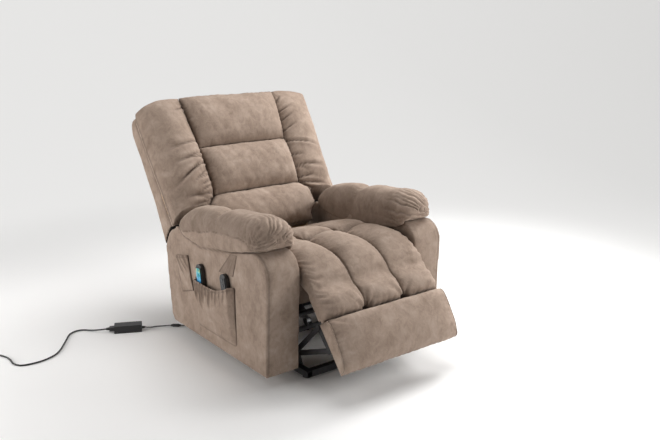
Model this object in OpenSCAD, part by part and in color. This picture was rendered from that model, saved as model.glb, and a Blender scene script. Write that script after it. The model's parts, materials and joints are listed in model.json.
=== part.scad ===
// Lift recliner chair: a powered armchair on a lifting base, with a folding footrest,
// a reclining back, side pockets with two handsets, and a mains adapter on a lead.
// Millimetres, +Z up, the chair faces -Y. The side views are written as [y, z] points
// measured from the front of the arms; place() then sets the origin at the middle of the base.

/* [Body] */
// Width over both arms
width = 860; // [820:1:900]
// Thickness of one arm
arm_w = 145; // [125:1:160]
// Height of the arms' lower edge above the floor
arm_foot = 45; // [36:1:60]
// Depth of the arms, front to rear
arm_depth = 769; // [760:1:790]
// Radius of the arms' rounded front top corner
arm_nose_r = 85; // [70:1:95]
// Thickness of an upholstered panel
panel_t = 6; // [4:0.5:10]
// Thickness of the arm's inner timber frame
arm_frame_t = 18; // [12:1:30]
// Width of the members of the arm's timber frame
arm_frame_w = 45; // [30:1:60]
// Rise of the arm cushion over the arm panel
arm_cushion_h = 128; // [100:1:140]
// How far the arm cushion overhangs the arm on the seat side
arm_cushion_in = 20; // [8:1:30]
// How far the arm cushion overhangs the arm on the outer side
arm_cushion_out = 7; // [2:1:12]

/* [Seat] */
// Height of the underside of the seat cushion
seat_z = 408; // [406:1:420]
// Rise of each seat channel above its side seam
seat_crown = 42; // [20:1:55]
// Half distance between the two long seams of the seat
channel_x = 95; // [70:1:110]
// Depth of the sewn tufts where the seams cross the crest
tuft = 12; // [4:1:18]
// Gap between the seat cushion and each arm
seat_gap = 5; // [3:0.5:12]
// Height of the timber seat box's rails
box_h = 65; // [45:1:68]
// Thickness of the timber seat box's rails
box_t = 20; // [15:1:26]
// Depth of the timber seat box, front to rear
box_d = 470; // [440:1:474]
// Width of one spring strap under the seat
strap_w = 38; // [20:1:60]
// Number of spring straps under the seat
strap_n = 5; // [3:1:6]

/* [Back] */
// Lean of the back pillows from upright
back_lean = 32.3; // [30:0.1:34]
// Height of the back's hinge above the floor
back_hinge_z = 322; // [318:1:326]
// Height of the head pillow
head_h = 245; // [210:1:260]
// Height of the middle pillow
mid_h = 222; // [190:1:240]
// Height of the lumbar pillow
lumbar_h = 205; // [185:1:208]
// Half width of the lumbar pillow's lower end
lumbar_x = 244; // [225:1:245]
// Half width of the pillows at the lowest cross seam
pillow_x = 220; // [200:1:235]
// How far the pillows stand out of the back
pillow_out = 60; // [40:1:75]
// Depth of the padding behind the seams of the pillows
pad_depth = 60; // [50:1:64]
// Radius of the back's rounded top corners
back_corner_r = 60; // [40:1:80]
// Depth of the timber frame in the back
back_frame_d = 34; // [25:1:38]

/* [Footrest] */
// Length of the footrest board
board_len = 203; // [190:1:212]
// Thickness of the footrest board
board_t = 15; // [10:0.5:18]
// Depth of the rolled pad on the footrest board
roll_h = 82; // [65:1:90]
// Depth of the leg pad between the seat and the rolled pad
leg_pad_h = 52; // [40:1:60]
// Rise of each leg pad channel above its side seam
leg_crown = 24; // [10:1:32]
// Radius of the round knuckle where the leg pad turns under the seat's nose
knuckle_r = 115; // [105:1:120]
// Gap in the knuckle
knuckle_gap = 0.6; // [0.6:0.1:2]

/* [Steelwork] */
// Thickness of the links
link_t = 4; // [3:0.5:4.5]
// Side gap between neighbouring links
link_gap = 1.3; // [0.8:0.1:1.5]
// Width of the links
link_w = 22; // [18:1:24]
// Radius of the link pins
pin_r = 5; // [4:0.5:6]
// Radial running clearance of a pin
pin_clear = 0.05; // [0.02:0.01:0.1]
// Radial play of the free pivot of the upper lift links
play = 0.6; // [0.5:0.05:1]
// Room between each side plate of the mechanism and the arm, for the footrest's links
link_room = 33; // [31:0.5:36]
// Radius of the torque tubes
tube_r = 11; // [9:0.5:12.5]
// Wall of the steel tubes
tube_wall = 2; // [1.2:0.1:3]
// Length of the base frame
base_len = 645; // [600:1:680]
// Side of the base frame's square tube
base_tube = 25; // [20:1:28]
// Height of the glides under the base
glide_h = 6; // [4:0.5:8]
// Radius of the glides under the base
glide_r = 14; // [10:0.5:17]

/* [Drives] */
// Radius of a drive's push rod
rod_r = 9; // [7:0.5:10]
// Outer radius of a drive's guide tube
drive_tube_r = 18; // [16.5:0.5:20]
// Width of a drive's eye
eye_w = 16; // [12:1:20]
// Outer radius of a drive's eye
eye_r = 13; // [10:0.5:14]
// Radius of a drive's motor
motor_r = 21; // [16:1:24]
// Length of a drive's motor
motor_len = 88; // [70:1:100]
// Length of a drive's gearbox, from the eye
gear_len = 52; // [46:1:56]

/* [Pockets and handsets] */
// How far the large pocket stands out of the arm
pocket_out = 22.5; // [22:0.5:26]
// Depth of the recess in the arm behind the large pocket
pocket_in = 12; // [8:0.5:20]
// Thickness of the pockets' cloth
cloth = 2; // [1.5:0.1:3]
// How far the narrow pocket stands out of the arm
slim_out = 8.5; // [7:0.5:12]
// Length of the massage handset
hand_a_len = 125; // [110:1:135]
// Length of the lift handset
hand_b_len = 120; // [105:1:130]
// Width of both handsets
hand_w = 46; // [36:1:52]
// Thickness of both handsets
hand_t = 18; // [14:0.5:18]
// Radius of a handset's buttons
key_r = 6.5; // [4:0.5:8]
// Travel of a handset's buttons
key_travel = 1.2; // [0.8:0.1:1.6]

/* [Power] */
// Length of the adapter
adapter_len = 116; // [100:1:130]
// Width of the adapter
adapter_w = 50; // [40:1:60]
// Height of the adapter
adapter_h = 32; // [26:1:40]
// Radius of the mains lead
lead_r = 3.25; // [2.5:0.05:3.5]
// Radius of the low voltage lead
dc_r = 2.25; // [1.8:0.05:2.6]

/* [Hidden] */
$fn = 48;

side = width / 2;              // outer face of an arm
inner = side - arm_w;          // seat side face of an arm
seat_x = inner - seat_gap;     // half width of the seat cushion
clear = 0.3;                   // gap between soft pieces and what carries them
plate_t = 4;                   // thickness of the mechanism's side plates
plate_x = inner - link_room - plate_t;   // inner half distance between the side plates

// A [y, z] vector of a length at an angle, anticlockwise in the side view.
function polar(r, a) = [r * cos(a), r * sin(a)];
function mix(a, b, t) = a + (b - a) * t;
// Points along an arc round c, from angle a0 to a1 in n steps.
function arc(c, r, a0, a1, n) = [for (k = [0 : n]) c + polar(r, mix(a0, a1, k / n))];

// Pivots of the side view, [y, z].
knee = [-62, seat_z + 65];               // centre of the footrest's swing
hinge = [611, back_hinge_z];             // back hinge
lift_a = [78.3, 83];                     // main lift link on the base
lift_b = [423.2, 76.2];                  // main lift link on the seat
lift_c = [142.5, 122.2];                 // upper lift link on the base
lift_d = [610.9, 142.5];                 // upper lift link on the seat
leg_a = [150, seat_z - 18];              // rear leg link on the seat
leg_b = [72, seat_z - 70];               // front leg link on the seat
foot_a = [-161, seat_z - 243];           // lower pivot on the footrest
foot_b = [-103, seat_z - 171];           // upper pivot on the footrest
elbow_a = leg_a + foot_a - knee;         // makes a parallelogram, so the swing is exact
elbow_b = leg_b + foot_b - knee;
bend_a = leg_a + polar(110, atan2(elbow_a[1] - leg_a[1], elbow_a[0] - leg_a[0]) + 30); // clears leg_b's pin

// Drives: both ends lie on one circle round the pivot they work, so the drive turns
// by half the angle that it drives.
lift_ring = 215;
lift_eye = lift_b + polar(lift_ring, 84);
lift_end = lift_b + polar(lift_ring, 168);
leg_ring = 170;
leg_eye = leg_a + polar(leg_ring, -25);
leg_end = leg_a + polar(leg_ring, -100);
back_ring = 200;
back_eye = hinge + polar(back_ring, 185);
back_end = hinge + polar(back_ring, -75);
lift_len = norm(lift_end - lift_eye);
leg_len = norm(leg_end - leg_eye);
back_len = norm(back_end - back_eye);
back_len_min = 2 * back_ring * sin(67 / 2);
leg_len_max = 2 * leg_ring * sin(130 / 2);
tube_off = eye_r + tube_r + 3;           // torque tube's distance from the eye's pin
lift_tube = lift_end + polar(tube_off, 235);
leg_tube = leg_end + polar(34, 303);
back_tube = back_end + polar(tube_off, -75);
seat_tube_1 = leg_eye + polar(tube_off, -11);
seat_tube_2 = lift_eye + polar(tube_off, 60);
seat_tube_3 = back_eye + polar(tube_off, 130);
lift_drive_x = -90;
back_drive_x = 90;

// Layers of the steelwork, inner faces, counted outwards from the chair's middle.
l_plate = plate_x;
l_a1 = l_plate + plate_t + link_gap;
l_a2 = l_a1 + link_t + link_gap;
l_foot = l_a2 + link_t + link_gap;
l_b2 = l_foot + link_t + link_gap;
l_b1 = l_b2 + link_t + link_gap;
l_upper = l_plate - 1.5 - link_t;
l_base = l_upper - 1.5 - 4;
l_main = l_base - 1 - 6;
main_t = 6;
rail_x = l_base + 1;                     // inner face of the base rails
back_plate_x = l_base;                   // inner face of the back brackets

// Back plane: u runs up the back and v stands out of it, from the lowest cross seam.
seam = [705, 571];
function back_at(u, v) = seam + [u * sin(back_lean) - v * cos(back_lean),
                                 u * cos(back_lean) + v * sin(back_lean)];
back_top = mid_h + head_h;

// Footrest plane: s runs down the board and h stands out of its rear face.
foot_lean = 51;
board_top = [-108, 263] + [0, seat_z - 408];
function foot_at(s, h) = board_top + [-s * cos(foot_lean) - h * sin(foot_lean),
                                      -s * sin(foot_lean) + h * cos(foot_lean)];

front_y = foot_at(0.74 * board_len, board_t + roll_h)[0];  // foremost point
rear_y = back_at(398, -134)[0];                            // rearmost point
mid_y = (front_y + rear_y) / 2;

module place() translate([0, -mid_y, 0]) children();
module both() { children(); mirror([1, 0, 0]) children(); }
// A side view drawn in [y, z], as a plate from x to x + t.
module plate(x, t) translate([x, 0, 0]) rotate([90, 0, 90]) linear_extrude(t) children();
// A round bar along X at a [y, z] point.
module bar_x(x0, x1, r, p) translate([x0, p[0], p[1]]) rotate([0, 90, 0]) cylinder(r = r, h = x1 - x0);
// A flat link between two points.
module link2d(p, q, w, r) {
  d = q - p;
  translate(p) rotate(atan2(d[1], d[0])) translate([0, -w / 2]) square([norm(d), w]);
  translate(p) circle(r);
  translate(q) circle(r);
}
module hole2d(p, r = pin_r + pin_clear) translate(p) circle(r);
end_r = link_w / 2 + 1;

// ---------------------------------------------------------------- base
module base_rails() color("#1c1c1e") place() both() {
  z0 = glide_h;
  difference() {
    union() {
      translate([rail_x, -25, z0]) cube([base_tube, base_len, base_tube]);
      plate(l_base, 4) difference() {
        union() {
          polygon([[40, z0 + base_tube], [190, z0 + base_tube], lift_c + [16, 2],
                   lift_c + [-10, 13], lift_a + [-15, 4], [52, 60]]);
          translate(lift_a) circle(16);
          translate(lift_c) circle(16);
        }
        translate([40, z0]) square([150, 1]);
      }
      translate([l_base, 40, z0 + 2]) cube([4, 150, base_tube - 1]);
      bar_x(l_main - 0.5, l_base + 1, pin_r, lift_a);
      bar_x(l_base + 3, l_upper + link_t, pin_r, lift_c);
    }
    translate([rail_x + tube_wall, -26, z0 + tube_wall])
      cube([base_tube - 2 * tube_wall, base_len + 2, base_tube - 2 * tube_wall]);
  }
}
module base_crossbars() color("#1c1c1e") place()
  for (y = [-25, base_len - 25 - base_tube])
    translate([-rail_x, y, glide_h]) difference() {
      cube([2 * rail_x, base_tube, base_tube]);
      translate([-1, tube_wall, tube_wall])
        cube([2 * rail_x + 2, base_tube - 2 * tube_wall, base_tube - 2 * tube_wall]);
    }
module base_glides() color("#2b2b2b") place() both()
  for (y = [0, base_len - 50])
    translate([rail_x + base_tube / 2, y, 0]) {
      cylinder(r1 = glide_r - 1.5, r2 = glide_r, h = 1.5);
      translate([0, 0, 1.5]) cylinder(r = glide_r, h = glide_h - 3);
      translate([0, 0, glide_h - 1.5]) cylinder(r1 = glide_r, r2 = glide_r - 4, h = 1.5);
    }

// ---------------------------------------------------------------- lift links
module lift_main_links() color("#222224") place() {
  both() {
    plate(l_main, main_t) difference() {
      union() {
        link2d(lift_a, lift_b, 26, 15);
        link2d(lift_tube, lift_tube + [0.1, -14], 30, 16);
      }
      hole2d(lift_a);
      hole2d(lift_b);
    }
  }
  difference() {
    bar_x(-l_main - 1, l_main + 1, tube_r, lift_tube);
    bar_x(-l_main + 1, l_main - 1, tube_r - tube_wall, lift_tube);
  }
  translate([lift_drive_x, 0, 0]) fork(lift_tube, lift_end);
}
// A fork of two lugs from a tube to a pin, which holds a drive's eye. The tube runs
// through the lugs, and each lug is cut to it.
module fork(from, to) {
  both() plate(eye_w / 2 + 0.5, 4) difference() {
    link2d(from, to, 20, 12);
    translate(from) circle(tube_r - 1);
  }
  bar_x(-eye_w / 2 - 4.5, eye_w / 2 + 4.5, pin_r, to);
}
module lift_upper_links() color("#222224") place() both()
  plate(l_upper, link_t) difference() {
    link2d(lift_c, lift_d, link_w, end_r + 1);
    hole2d(lift_c);
    hole2d(lift_d, pin_r + play);
  }

// ---------------------------------------------------------------- seat mechanism
module side_plates() color("#26262a") place() both() {
  plate(l_plate, plate_t) {
    polygon([[leg_b[0] - 14, leg_b[1]], [76, seat_z - 8], [590, seat_z - 8], [640, 350], [640, 300],
             [627, 130], [594, 130], [560, 240], [500, 285], [470, 226], [392, 226], [372, 282],
             [300, 284], [285, 330], [185, 345], [90, leg_b[1] - 12]]);
    translate(leg_a) circle(end_r);
    translate(leg_b) circle(14);
    translate(lift_d) circle(17);
    translate(hinge) circle(29);
  }
  bar_x(l_plate + plate_t - 1, l_a1 + link_t, pin_r, leg_a);
  bar_x(l_plate + plate_t - 1, l_b1 - 0.6, pin_r + 2, leg_b);
  bar_x(l_b1 - 1, l_b1 + link_t, pin_r, leg_b);
  // Hanger that carries the main link inside the path of the upper link.
  plate(l_base, 4) {
    polygon([[398, 240], [406, 72], [440, 72], [450, 240], [450, 262], [398, 262]]);
    translate(lift_b) circle(17);
  }
  plate(l_base + 3.5, l_plate - l_base - 3) translate([400, 230]) square([48, 30]);
  bar_x(l_main, l_base + 1, pin_r, lift_b);
  bar_x(l_main + main_t + 0.8, l_base + 1, pin_r + 3, lift_b);
  bar_x(l_upper - 0.3, l_plate + 1, pin_r, lift_d);
  bar_x(back_plate_x - 0.3, l_plate + 1, pin_r, hinge);
  bar_x(back_plate_x + 4.8, l_plate + 1, pin_r + 3, hinge);
}
module cross_tubes() color("#26262a") place() {
  for (p = [seat_tube_1, seat_tube_2, seat_tube_3]) difference() {
    bar_x(-l_plate, l_plate, tube_r, p);
    bar_x(-l_plate - 1, l_plate + 1, tube_r - tube_wall, p);
  }
  fork(seat_tube_1, leg_eye);
  translate([lift_drive_x, 0, 0]) fork(seat_tube_2, lift_eye);
  translate([back_drive_x, 0, 0]) fork(seat_tube_3, back_eye);
}
box_y = 75;
box_z = seat_z - 3 - box_h;
module seat_box() color("#b48a5a") place() {
  both() translate([plate_x - box_t, box_y, box_z]) cube([box_t, box_d, box_h]);
  for (y = [box_y, box_y + box_d - box_t])
    translate([-plate_x + box_t, y, box_z]) cube([2 * (plate_x - box_t), box_t, box_h]);
}
module seat_straps() color("#3a3a3c") place() {
  pitch = 2 * (plate_x - box_t - 30) / (strap_n - 1);
  for (i = [0 : strap_n - 1])
    translate([-plate_x + box_t + 30 + i * pitch - strap_w / 2, box_y + 3, seat_z - 3])
      cube([strap_w, box_d - 6, 3 - clear]);
}
// Cloth that closes the front of the seat over the steelwork, with a notch for the leg drive.
module seat_front_cover() color("#8d7a6a") place()
  translate([0, box_y - 3, 0]) rotate([90, 0, 0]) translate([0, 0, -3]) linear_extrude(3) difference() {
    translate([-plate_x + 1, seat_z - 143]) square([2 * plate_x - 2, 135]);
    translate([-48, seat_z - 144]) square([96, 78]);
    translate([0, seat_z - 66]) circle(48);
  }
// Cloth that closes the rear between the arms.
module rear_panel() color("#8d7a6a") place()
  plate(-inner, 2 * inner) polygon([[arm_depth - 16, 165], [arm_depth - 10, 240], [arm_depth - 7, 337],
    [arm_depth - 11, 337], [arm_depth - 14, 240], [arm_depth - 20, 165]]);
module arm_brackets() color("#26262a") place() both() {
  gap = inner - l_plate - plate_t;
  for (p = [[330, 352], [520, 352]]) translate([l_plate + plate_t, p[0], p[1]]) {
    cube([4, 44, 36]);
    cube([gap, 44, 4]);
    translate([gap - 4, 0, 0]) cube([4, 44, 36]);
    translate([0, 20, 0]) cube([gap, 4, 24]);
  }
}

// ---------------------------------------------------------------- arms
arm_top_pts = [[-17, 420], [40, 500], [68, 505], [86.4, 503], [217, 472], [464, 433], [600, 450], [650, 478],
               [700, 478]];
function arm_top(y) = lookup(y, arm_top_pts);
slit_in = 164;    // radius of the arm's edge round the back hinge
slit_out = 177;   // radius of the back's edge round the same hinge
// Side view of an arm, drawn smaller all round by e.
module arm_profile(e = 0) difference() {
  polygon(concat([[e, arm_foot + e], [arm_depth - 46 - e, arm_foot + e], [arm_depth - 27 - e, 70 + e],
    [arm_depth - 9 - e, 238], [arm_depth - e, 366], [arm_depth - 60 - e, 430 - e / 2], [680 - e, 478 - e], [650, 478 - e],
    [600, 450 - e], [464, 433 - e], [217, 472 - e]], arc([68, 420], arm_nose_r - e, 77.5, 180, 20)));
  difference() {
    translate([hinge[0], hinge[1]]) square([300, 300]);
    translate(hinge) circle(slit_in - e);
  }
}
recess = [[214, 100], [506, 334]];       // recess behind the large pocket, [y, z]
module arm_shell(with_recess) {
  difference() {
    union() {
      difference() {
        plate(inner, arm_w) arm_profile();
        plate(inner + panel_t, arm_w - 2 * panel_t) arm_profile(panel_t);
      }
      if (with_recess) translate([side - pocket_in - 4, recess[0][0] - 4, recess[0][1] - 4])
        cube([pocket_in + 4 - 1, recess[1][0] - recess[0][0] + 8, recess[1][1] - recess[0][1] + 8]);
    }
    if (with_recess) translate([side - pocket_in, recess[0][0], recess[0][1]])
      cube([pocket_in + 1, recess[1][0] - recess[0][0], recess[1][1] - recess[0][1]]);
  }
}
module arm_shell_left() color("#8f7c6c") place() mirror([1, 0, 0]) arm_shell(true);
module arm_shell_right() color("#8f7c6c") place() arm_shell(false);
// Timber frame inside an arm, against the seat side panel.
module arm_frame() plate(inner + panel_t, arm_frame_t) difference() {
  arm_profile(panel_t);
  polygon([[arm_frame_w, arm_foot + arm_frame_w], [arm_depth - 60 - arm_frame_w, arm_foot + arm_frame_w],
           [arm_depth - 60 - arm_frame_w, hinge[1] - clear], [620, 430 - arm_frame_w], [464, 425 - arm_frame_w],
           [217, 464 - arm_frame_w], [90, 490 - arm_frame_w], [arm_frame_w - 4, 400]]);
}
module arm_frame_left() color("#b48a5a") place() mirror([1, 0, 0]) arm_frame();
module arm_frame_right() color("#b48a5a") place() arm_frame();

// ---------------------------------------------------------------- soft forms
// A closed soft form through rings of points, with a fan of triangles on each end.
function mean(r) = [for (k = [0 : 2]) let (s = [for (p = r) p[k]]) s * [for (p = r) 1] / len(r)];
module loft(rings) {
  n = len(rings[0]);
  m = len(rings);
  pts = concat([for (r = rings) each r], [mean(rings[0]), mean(rings[m - 1])]);
  polyhedron(pts, concat(
    [for (i = [0 : m - 2], j = [0 : n - 1]) each let (a = i * n + j, b = i * n + (j + 1) % n)
      [[a, b, b + n], [a, b + n, a + n]]],
    [for (j = [0 : n - 1]) [m * n, (j + 1) % n, j]],
    [for (j = [0 : n - 1]) [m * n + 1, (m - 1) * n + j, (m - 1) * n + (j + 1) % n]]), convexity = 6);
}
// Height of three sewn channels across the seat, 0 at the sides and 1 on a crest.
function lobe(x) = let (a = abs(x), c = (channel_x + seat_x) / 2, h = (seat_x - channel_x) / 2,
    u = a < channel_x ? a / channel_x : abs(a - c) / h)
  (a < channel_x ? 0.42 + 0.58 * sqrt(max(0, 1 - pow(u, 2.4)))
   : a < c ? 0.42 + 0.54 * sqrt(max(0, 1 - pow(u, 2.4))) : 0.96 * sqrt(max(0, 1 - pow(u, 2.6))));
// Stations across the seat, as shares of its half width, and the two seams among them.
function seat_xs(w) = let (s = channel_x)
  [-w, -w + 5, -w + 20, -w + 50, -s - 70, -s - 38, -s - 12, -s, -s + 14, -s + 45, 0,
   s - 45, s - 14, s, s + 12, s + 38, s + 70, w - 50, w - 20, w - 5, w];
// Side line of the seat's upper face and the share of the crown at each point.
seat_line = [for (p = [[-80, -35, 0.1], [-52, 2, 0.3], [-8, 40, 0.62], [35, 56, 0.85], [75, 61, 1],
                       [130, 62, 1], [200, 57, 0.9], [280, 45, 0.75], [390, 22, 0.6],
                       [470, 8, 0.48], [526, -1, 0.34]]) p];
function tuft_at(x, y) = tuft * exp(-(pow((abs(x) - channel_x) / 34, 2) + pow((y - 230) / 40, 2)));
function seat_ring(x) = let (f = lobe(x), w = abs(x) / seat_x, draw = 3 * pow(w, 8))
  concat(
    [for (a = [-36, -52, -70, -88]) let (p = knee + polar(knuckle_r - knuckle_gap / 2, a)) [x, p[0], p[1]]],
    [let (p = knee + polar(knuckle_r - knuckle_gap / 2 - 1, -102)) [x, p[0], p[1]]],
    [for (p = seat_line) [x, p[0], max(seat_z + p[1] + seat_crown * p[2] * f - tuft_at(x, p[0]) - draw,
                                       p[0] > 40 ? seat_z + 10 : -1e3)]],
    [[x, 541 - 5 * w, seat_z + 3], [x, 538 - 5 * w, seat_z], [x, 300, seat_z], [x, 62, seat_z]]);
module seat_cushion() color("#94816f") place() loft([for (x = seat_xs(seat_x)) seat_ring(x)]);

function leg_ring_at(x) = let (f = lobe(x * seat_x / (seat_x - 5)), k = (knuckle_r + knuckle_gap / 2) / cos(6.5) + 0.2,
    a = knee + polar(k, -76), b = knee + polar(k, -101), c = knee + polar(k, -88),
    pts = [b, foot_at(-78, leg_pad_h + leg_crown * 0.55 * f), foot_at(-60, leg_pad_h + 4 + leg_crown * 0.85 * f),
           foot_at(-35, leg_pad_h + 6 + leg_crown * f), foot_at(-8, leg_pad_h + 6 + leg_crown * 0.9 * f),
           foot_at(8, leg_pad_h + leg_crown * 0.6 * f), foot_at(16.5, leg_pad_h * 0.7),
           foot_at(16.5, board_t + clear), foot_at(-clear, board_t + clear), foot_at(-clear, 4),
           foot_at(-40, 2), foot_at(-85, 2), a, c])
  [for (p = pts) [x, p[0], p[1]]];
module leg_pad() color("#94816f") place()
  loft([for (x = seat_xs(seat_x - 5)) leg_ring_at(x)]);

// Rolled pad: a fat round-fronted bolster on the board, drawn in at both ends.
roll_x = seat_x + 4;
function roll_ring(x) = let (w = abs(x) / roll_x, e = 1 - 0.16 * pow(w, 6), h = roll_h * e,
    pts = [foot_at(17, board_t + clear), foot_at(17, board_t + h * 0.5), foot_at(24, board_t + h * 0.82),
           foot_at(45, board_t + h * 0.97), foot_at(85, board_t + h), foot_at(128, board_t + h * 0.98),
           foot_at(165, board_t + h * 0.86), foot_at(board_len - 8, board_t + h * 0.58),
           foot_at(board_len + 10, board_t + h * 0.25), foot_at(board_len + 10, board_t + clear),
           foot_at(board_len * 0.5, board_t + clear)])
  [for (p = pts) [x, p[0], p[1]]];
module footrest_roll() color("#94816f") place()
  loft([for (s = [-1, -0.985, -0.93, -0.8, -0.55, -0.28, 0, 0.28, 0.55, 0.8, 0.93, 0.985, 1])
    roll_ring(s * roll_x)]);

// Arm cushion: [y, height share, overhang share, rise of the underside] down its length.
arm_stations = [[18, 0.477, -1.6, 79], [24, 0.648, -0.7, 54], [36, 0.805, 0.2, 24], [56, 0.9, 0.8, 6],
                [68, 0.935, 1, 2], [86.4, 0.962, 1, 0.5], [130, 0.993, 1, 0], [217, 0.985, 1, 0], [300, 1.021, 0.9, 0],
                [375, 0.963, 0.5, 0], [430, 1.02, 0.3, 0], [500, 1.013, 0.6, 0], [575, 0.94, 0.6, 0],
                [628, 0.683, 0.2, 0], [649, 0.28, -1.5, 0.5]];
function arm_cushion_ring(s) = let (y = s[0], zb = arm_top(y) + clear + s[3],
    zt = arm_top(68) + arm_cushion_h * s[1] - (s[0] > 68 ? (s[0] - 68) * 0.115 : 0),
    xi = inner - arm_cushion_in * s[2], xo = side + arm_cushion_out * s[2], c = (xi + xo) / 2,
    a = (xo - xi) / 2, h = max(6, zt - zb))
  [for (p = [[-0.72, 0], [0, 0], [0.72, 0], [0.97, 0.07], [1, 0.32], [0.96, 0.58], [0.82, 0.8],
             [0.5, 0.95], [0.1, 1], [-0.35, 0.98], [-0.72, 0.86], [-0.94, 0.62], [-1, 0.36],
             [-0.92, 0.1]])
    [c + a * p[0], y, zb + h * p[1]]];
module arm_cushion() loft([for (s = arm_stations) arm_cushion_ring(s)]);
module arm_cushion_left() color("#8a7767") place() mirror([1, 0, 0]) arm_cushion();
module arm_cushion_right() color("#8a7767") place() arm_cushion();

// Back pillow between two cross seams; w0 and w1 are its half widths at the lower and upper seam.
module pillow(u0, u1, w0, w1, out, drop = 0) {
  fs = [-1, -0.985, -0.94, -0.84, -0.66, -0.35, 0, 0.35, 0.66, 0.84, 0.94, 0.985, 1];
  shape = [[0, 0.1], [0.02, 0.3], [0.08, 0.58], [0.2, 0.84], [0.38, 0.98], [0.58, 1], [0.78, 0.88],
           [0.91, 0.62], [0.98, 0.32], [1, 0.1]];
  loft([for (f = fs) let (e = sqrt(max(0, 1 - pow(abs(f), 5))), k = 0.12 + 0.88 * e)
    concat(
      [for (p = shape) let (w = mix(w0, w1, p[0]), u = mix(u0 + 0.5, u1 - 0.5, p[0]),
          q = back_at(u, out * p[1] * k)) [f * w, q[0], q[1]]],
      [for (p = [1, 0.5, 0]) let (u = mix(u0 + 0.5, u1 - 0.5 - drop, p), w = mix(w0, w1, (u - u0) / (u1 - u0)),
          q = back_at(u, -pad_depth + clear)) [f * w, q[0], q[1]]])]);
}
seam_1_x = pillow_x + 4;
head_x = pillow_x + 24;
module pillow_head() color("#94816f") place() pillow(mid_h, back_top, seam_1_x, head_x, pillow_out * 0.95, 46);
module pillow_middle() color("#94816f") place() pillow(0, mid_h, pillow_x, seam_1_x, pillow_out);
module pillow_lumbar() color("#94816f") place() pillow(-lumbar_h, 0, lumbar_x, pillow_x, pillow_out);

// Side bolster of the back, from the pillows' edge to the side of the chair.
function pillow_edge(u) = lookup(u, [[-lumbar_h, lumbar_x], [0, pillow_x], [mid_h, seam_1_x], [back_top, head_x]]);
function wing_top(x) = back_top - 5 - 62 * pow(max(0, (x - head_x) / (side - head_x)), 3.2);
wing_shape = [[0, 0.02], [0.05, 0.42], [0.16, 0.78], [0.34, 1], [0.54, 0.98], [0.72, 0.72], [0.87, 0.2],
              [0.97, -0.42], [1, -0.8]];
function wing_ring(t) = let (top = pow(t, 6), k = t < 0.5 ? 1 : 1 - 0.85 * top)
  concat(
    [for (p = wing_shape) let (v = p[1] > 0 ? 50 * p[1] * k * (0.6 + 0.4 * min(1, t * 4)) : 50 * p[1],
        ub = -22 - (45 - v) * 0.62, x1 = side - 1, ug = mix(ub, wing_top(mix(head_x, x1, p[0])), t),
        x = mix(pillow_edge(ug) + 0.6, x1, p[0]), q = back_at(ug, v)) [x, q[0], q[1]]],
    [for (f = [1, 0.5, 0]) let (v = -pad_depth + clear, ub = -22 - (45 - v) * 0.62, x1 = side - 1,
        ug = mix(ub, wing_top(mix(head_x, x1, f)) - 40, t), x = mix(pillow_edge(ug) + 0.6, x1, f),
        q = back_at(ug, v)) [x, q[0], q[1]]]);
module wing() loft([for (t = [1, 0.985, 0.95, 0.88, 0.76, 0.62, 0.48, 0.34, 0.22, 0.12, 0.04, 0]) wing_ring(t)]);
module wing_left() color("#8f7c6c") place() mirror([1, 0, 0]) wing();
module wing_right() color("#8f7c6c") place() wing();

// ---------------------------------------------------------------- back frame and cover
// Side view of the cover round the back, drawn smaller by e at the rear and the top.
module back_profile(e = 0) difference() {
  polygon(concat(e > 0 ? [back_at(-95, -40), back_at(380, -40)] : [back_at(-95, -pad_depth - 1)],
    [back_at(410 - e, -pad_depth - 1), back_at(432 - e, -84), back_at(430 - e, -112 + e),
     back_at(405 - e, -132 + e), back_at(-145, -172 + e), back_at(-175, -172 + e), back_at(-175, -120)]));
  translate(hinge) circle(slit_out + e);
}
// Front view of the back, [x, u], with rounded top corners, drawn smaller by e.
module back_front(e = 0) {
  r = back_corner_r;
  polygon(concat([[-side + e, -240], [side - e, -240]], arc([side - r, 432 - r], r - e, 0, 90, 9),
    arc([-side + r, 432 - r], r - e, 90, 180, 9)));
}
// Local frame of the back: X across, Y up the back, Z behind the seams.
module in_back() translate([0, seam[0], seam[1]]) rotate([90 - back_lean, 0, 0]) mirror([0, 0, 1]) children();
module back_solid(e = 0) intersection() {
  plate(-side + e, 2 * (side - e)) back_profile(e);
  in_back() translate([0, 0, -10]) linear_extrude(260) back_front(e);
}
module back_cover() color("#8a7767") place() difference() {
  back_solid();
  back_solid(panel_t);
  // Slots that let the frame's posts through the lower edge.
  both() translate([post_x - 16, 0, 0]) in_back() translate([-16.4, -230, pad_depth - 5])
    cube([32.8, 200, back_frame_d + 5.4]);
}
post_x = back_plate_x - 1;
module back_frame() color("#b48a5a") place() in_back()
  translate([0, 0, pad_depth]) linear_extrude(back_frame_d) {
    for (m = [-1, 1]) {
      translate([m > 0 ? post_x - 32 : -post_x, -222]) square([32, 622]);
      translate([m > 0 ? side - panel_t - 34.5 : -side + panel_t + 0.5, -40]) square([34, 400]);
    }
    for (u = [-40, 150, 325]) translate([-side + panel_t + 1, u]) square([2 * (side - panel_t - 1), 35]);
    for (u = [-222, 365]) translate([-post_x, u]) square([2 * post_x, 35]);
  }
module back_brackets() color("#26262a") place() {
  both() plate(back_plate_x, 4) difference() {
    union() {
      link2d(hinge, back_at(-205, -86), 32, 20);
      link2d(back_at(-205, -86), back_at(-120, -84), 32, 16);
      link2d(hinge, back_tube, 30, 17);
    }
    hole2d(hinge);
  }
  // Pads that screw the brackets to the frame's posts.
  both() translate([post_x, 0, 0]) plate(0, back_plate_x - post_x + 0.5)
    translate(back_at(-120, -84)) circle(9);
  difference() {
    bar_x(-back_plate_x - 1, back_plate_x + 1, tube_r, back_tube);
    bar_x(-back_plate_x + 1, back_plate_x - 1, tube_r - tube_wall, back_tube);
  }
  translate([back_drive_x, 0, 0]) fork(back_tube, back_end);
}

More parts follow.
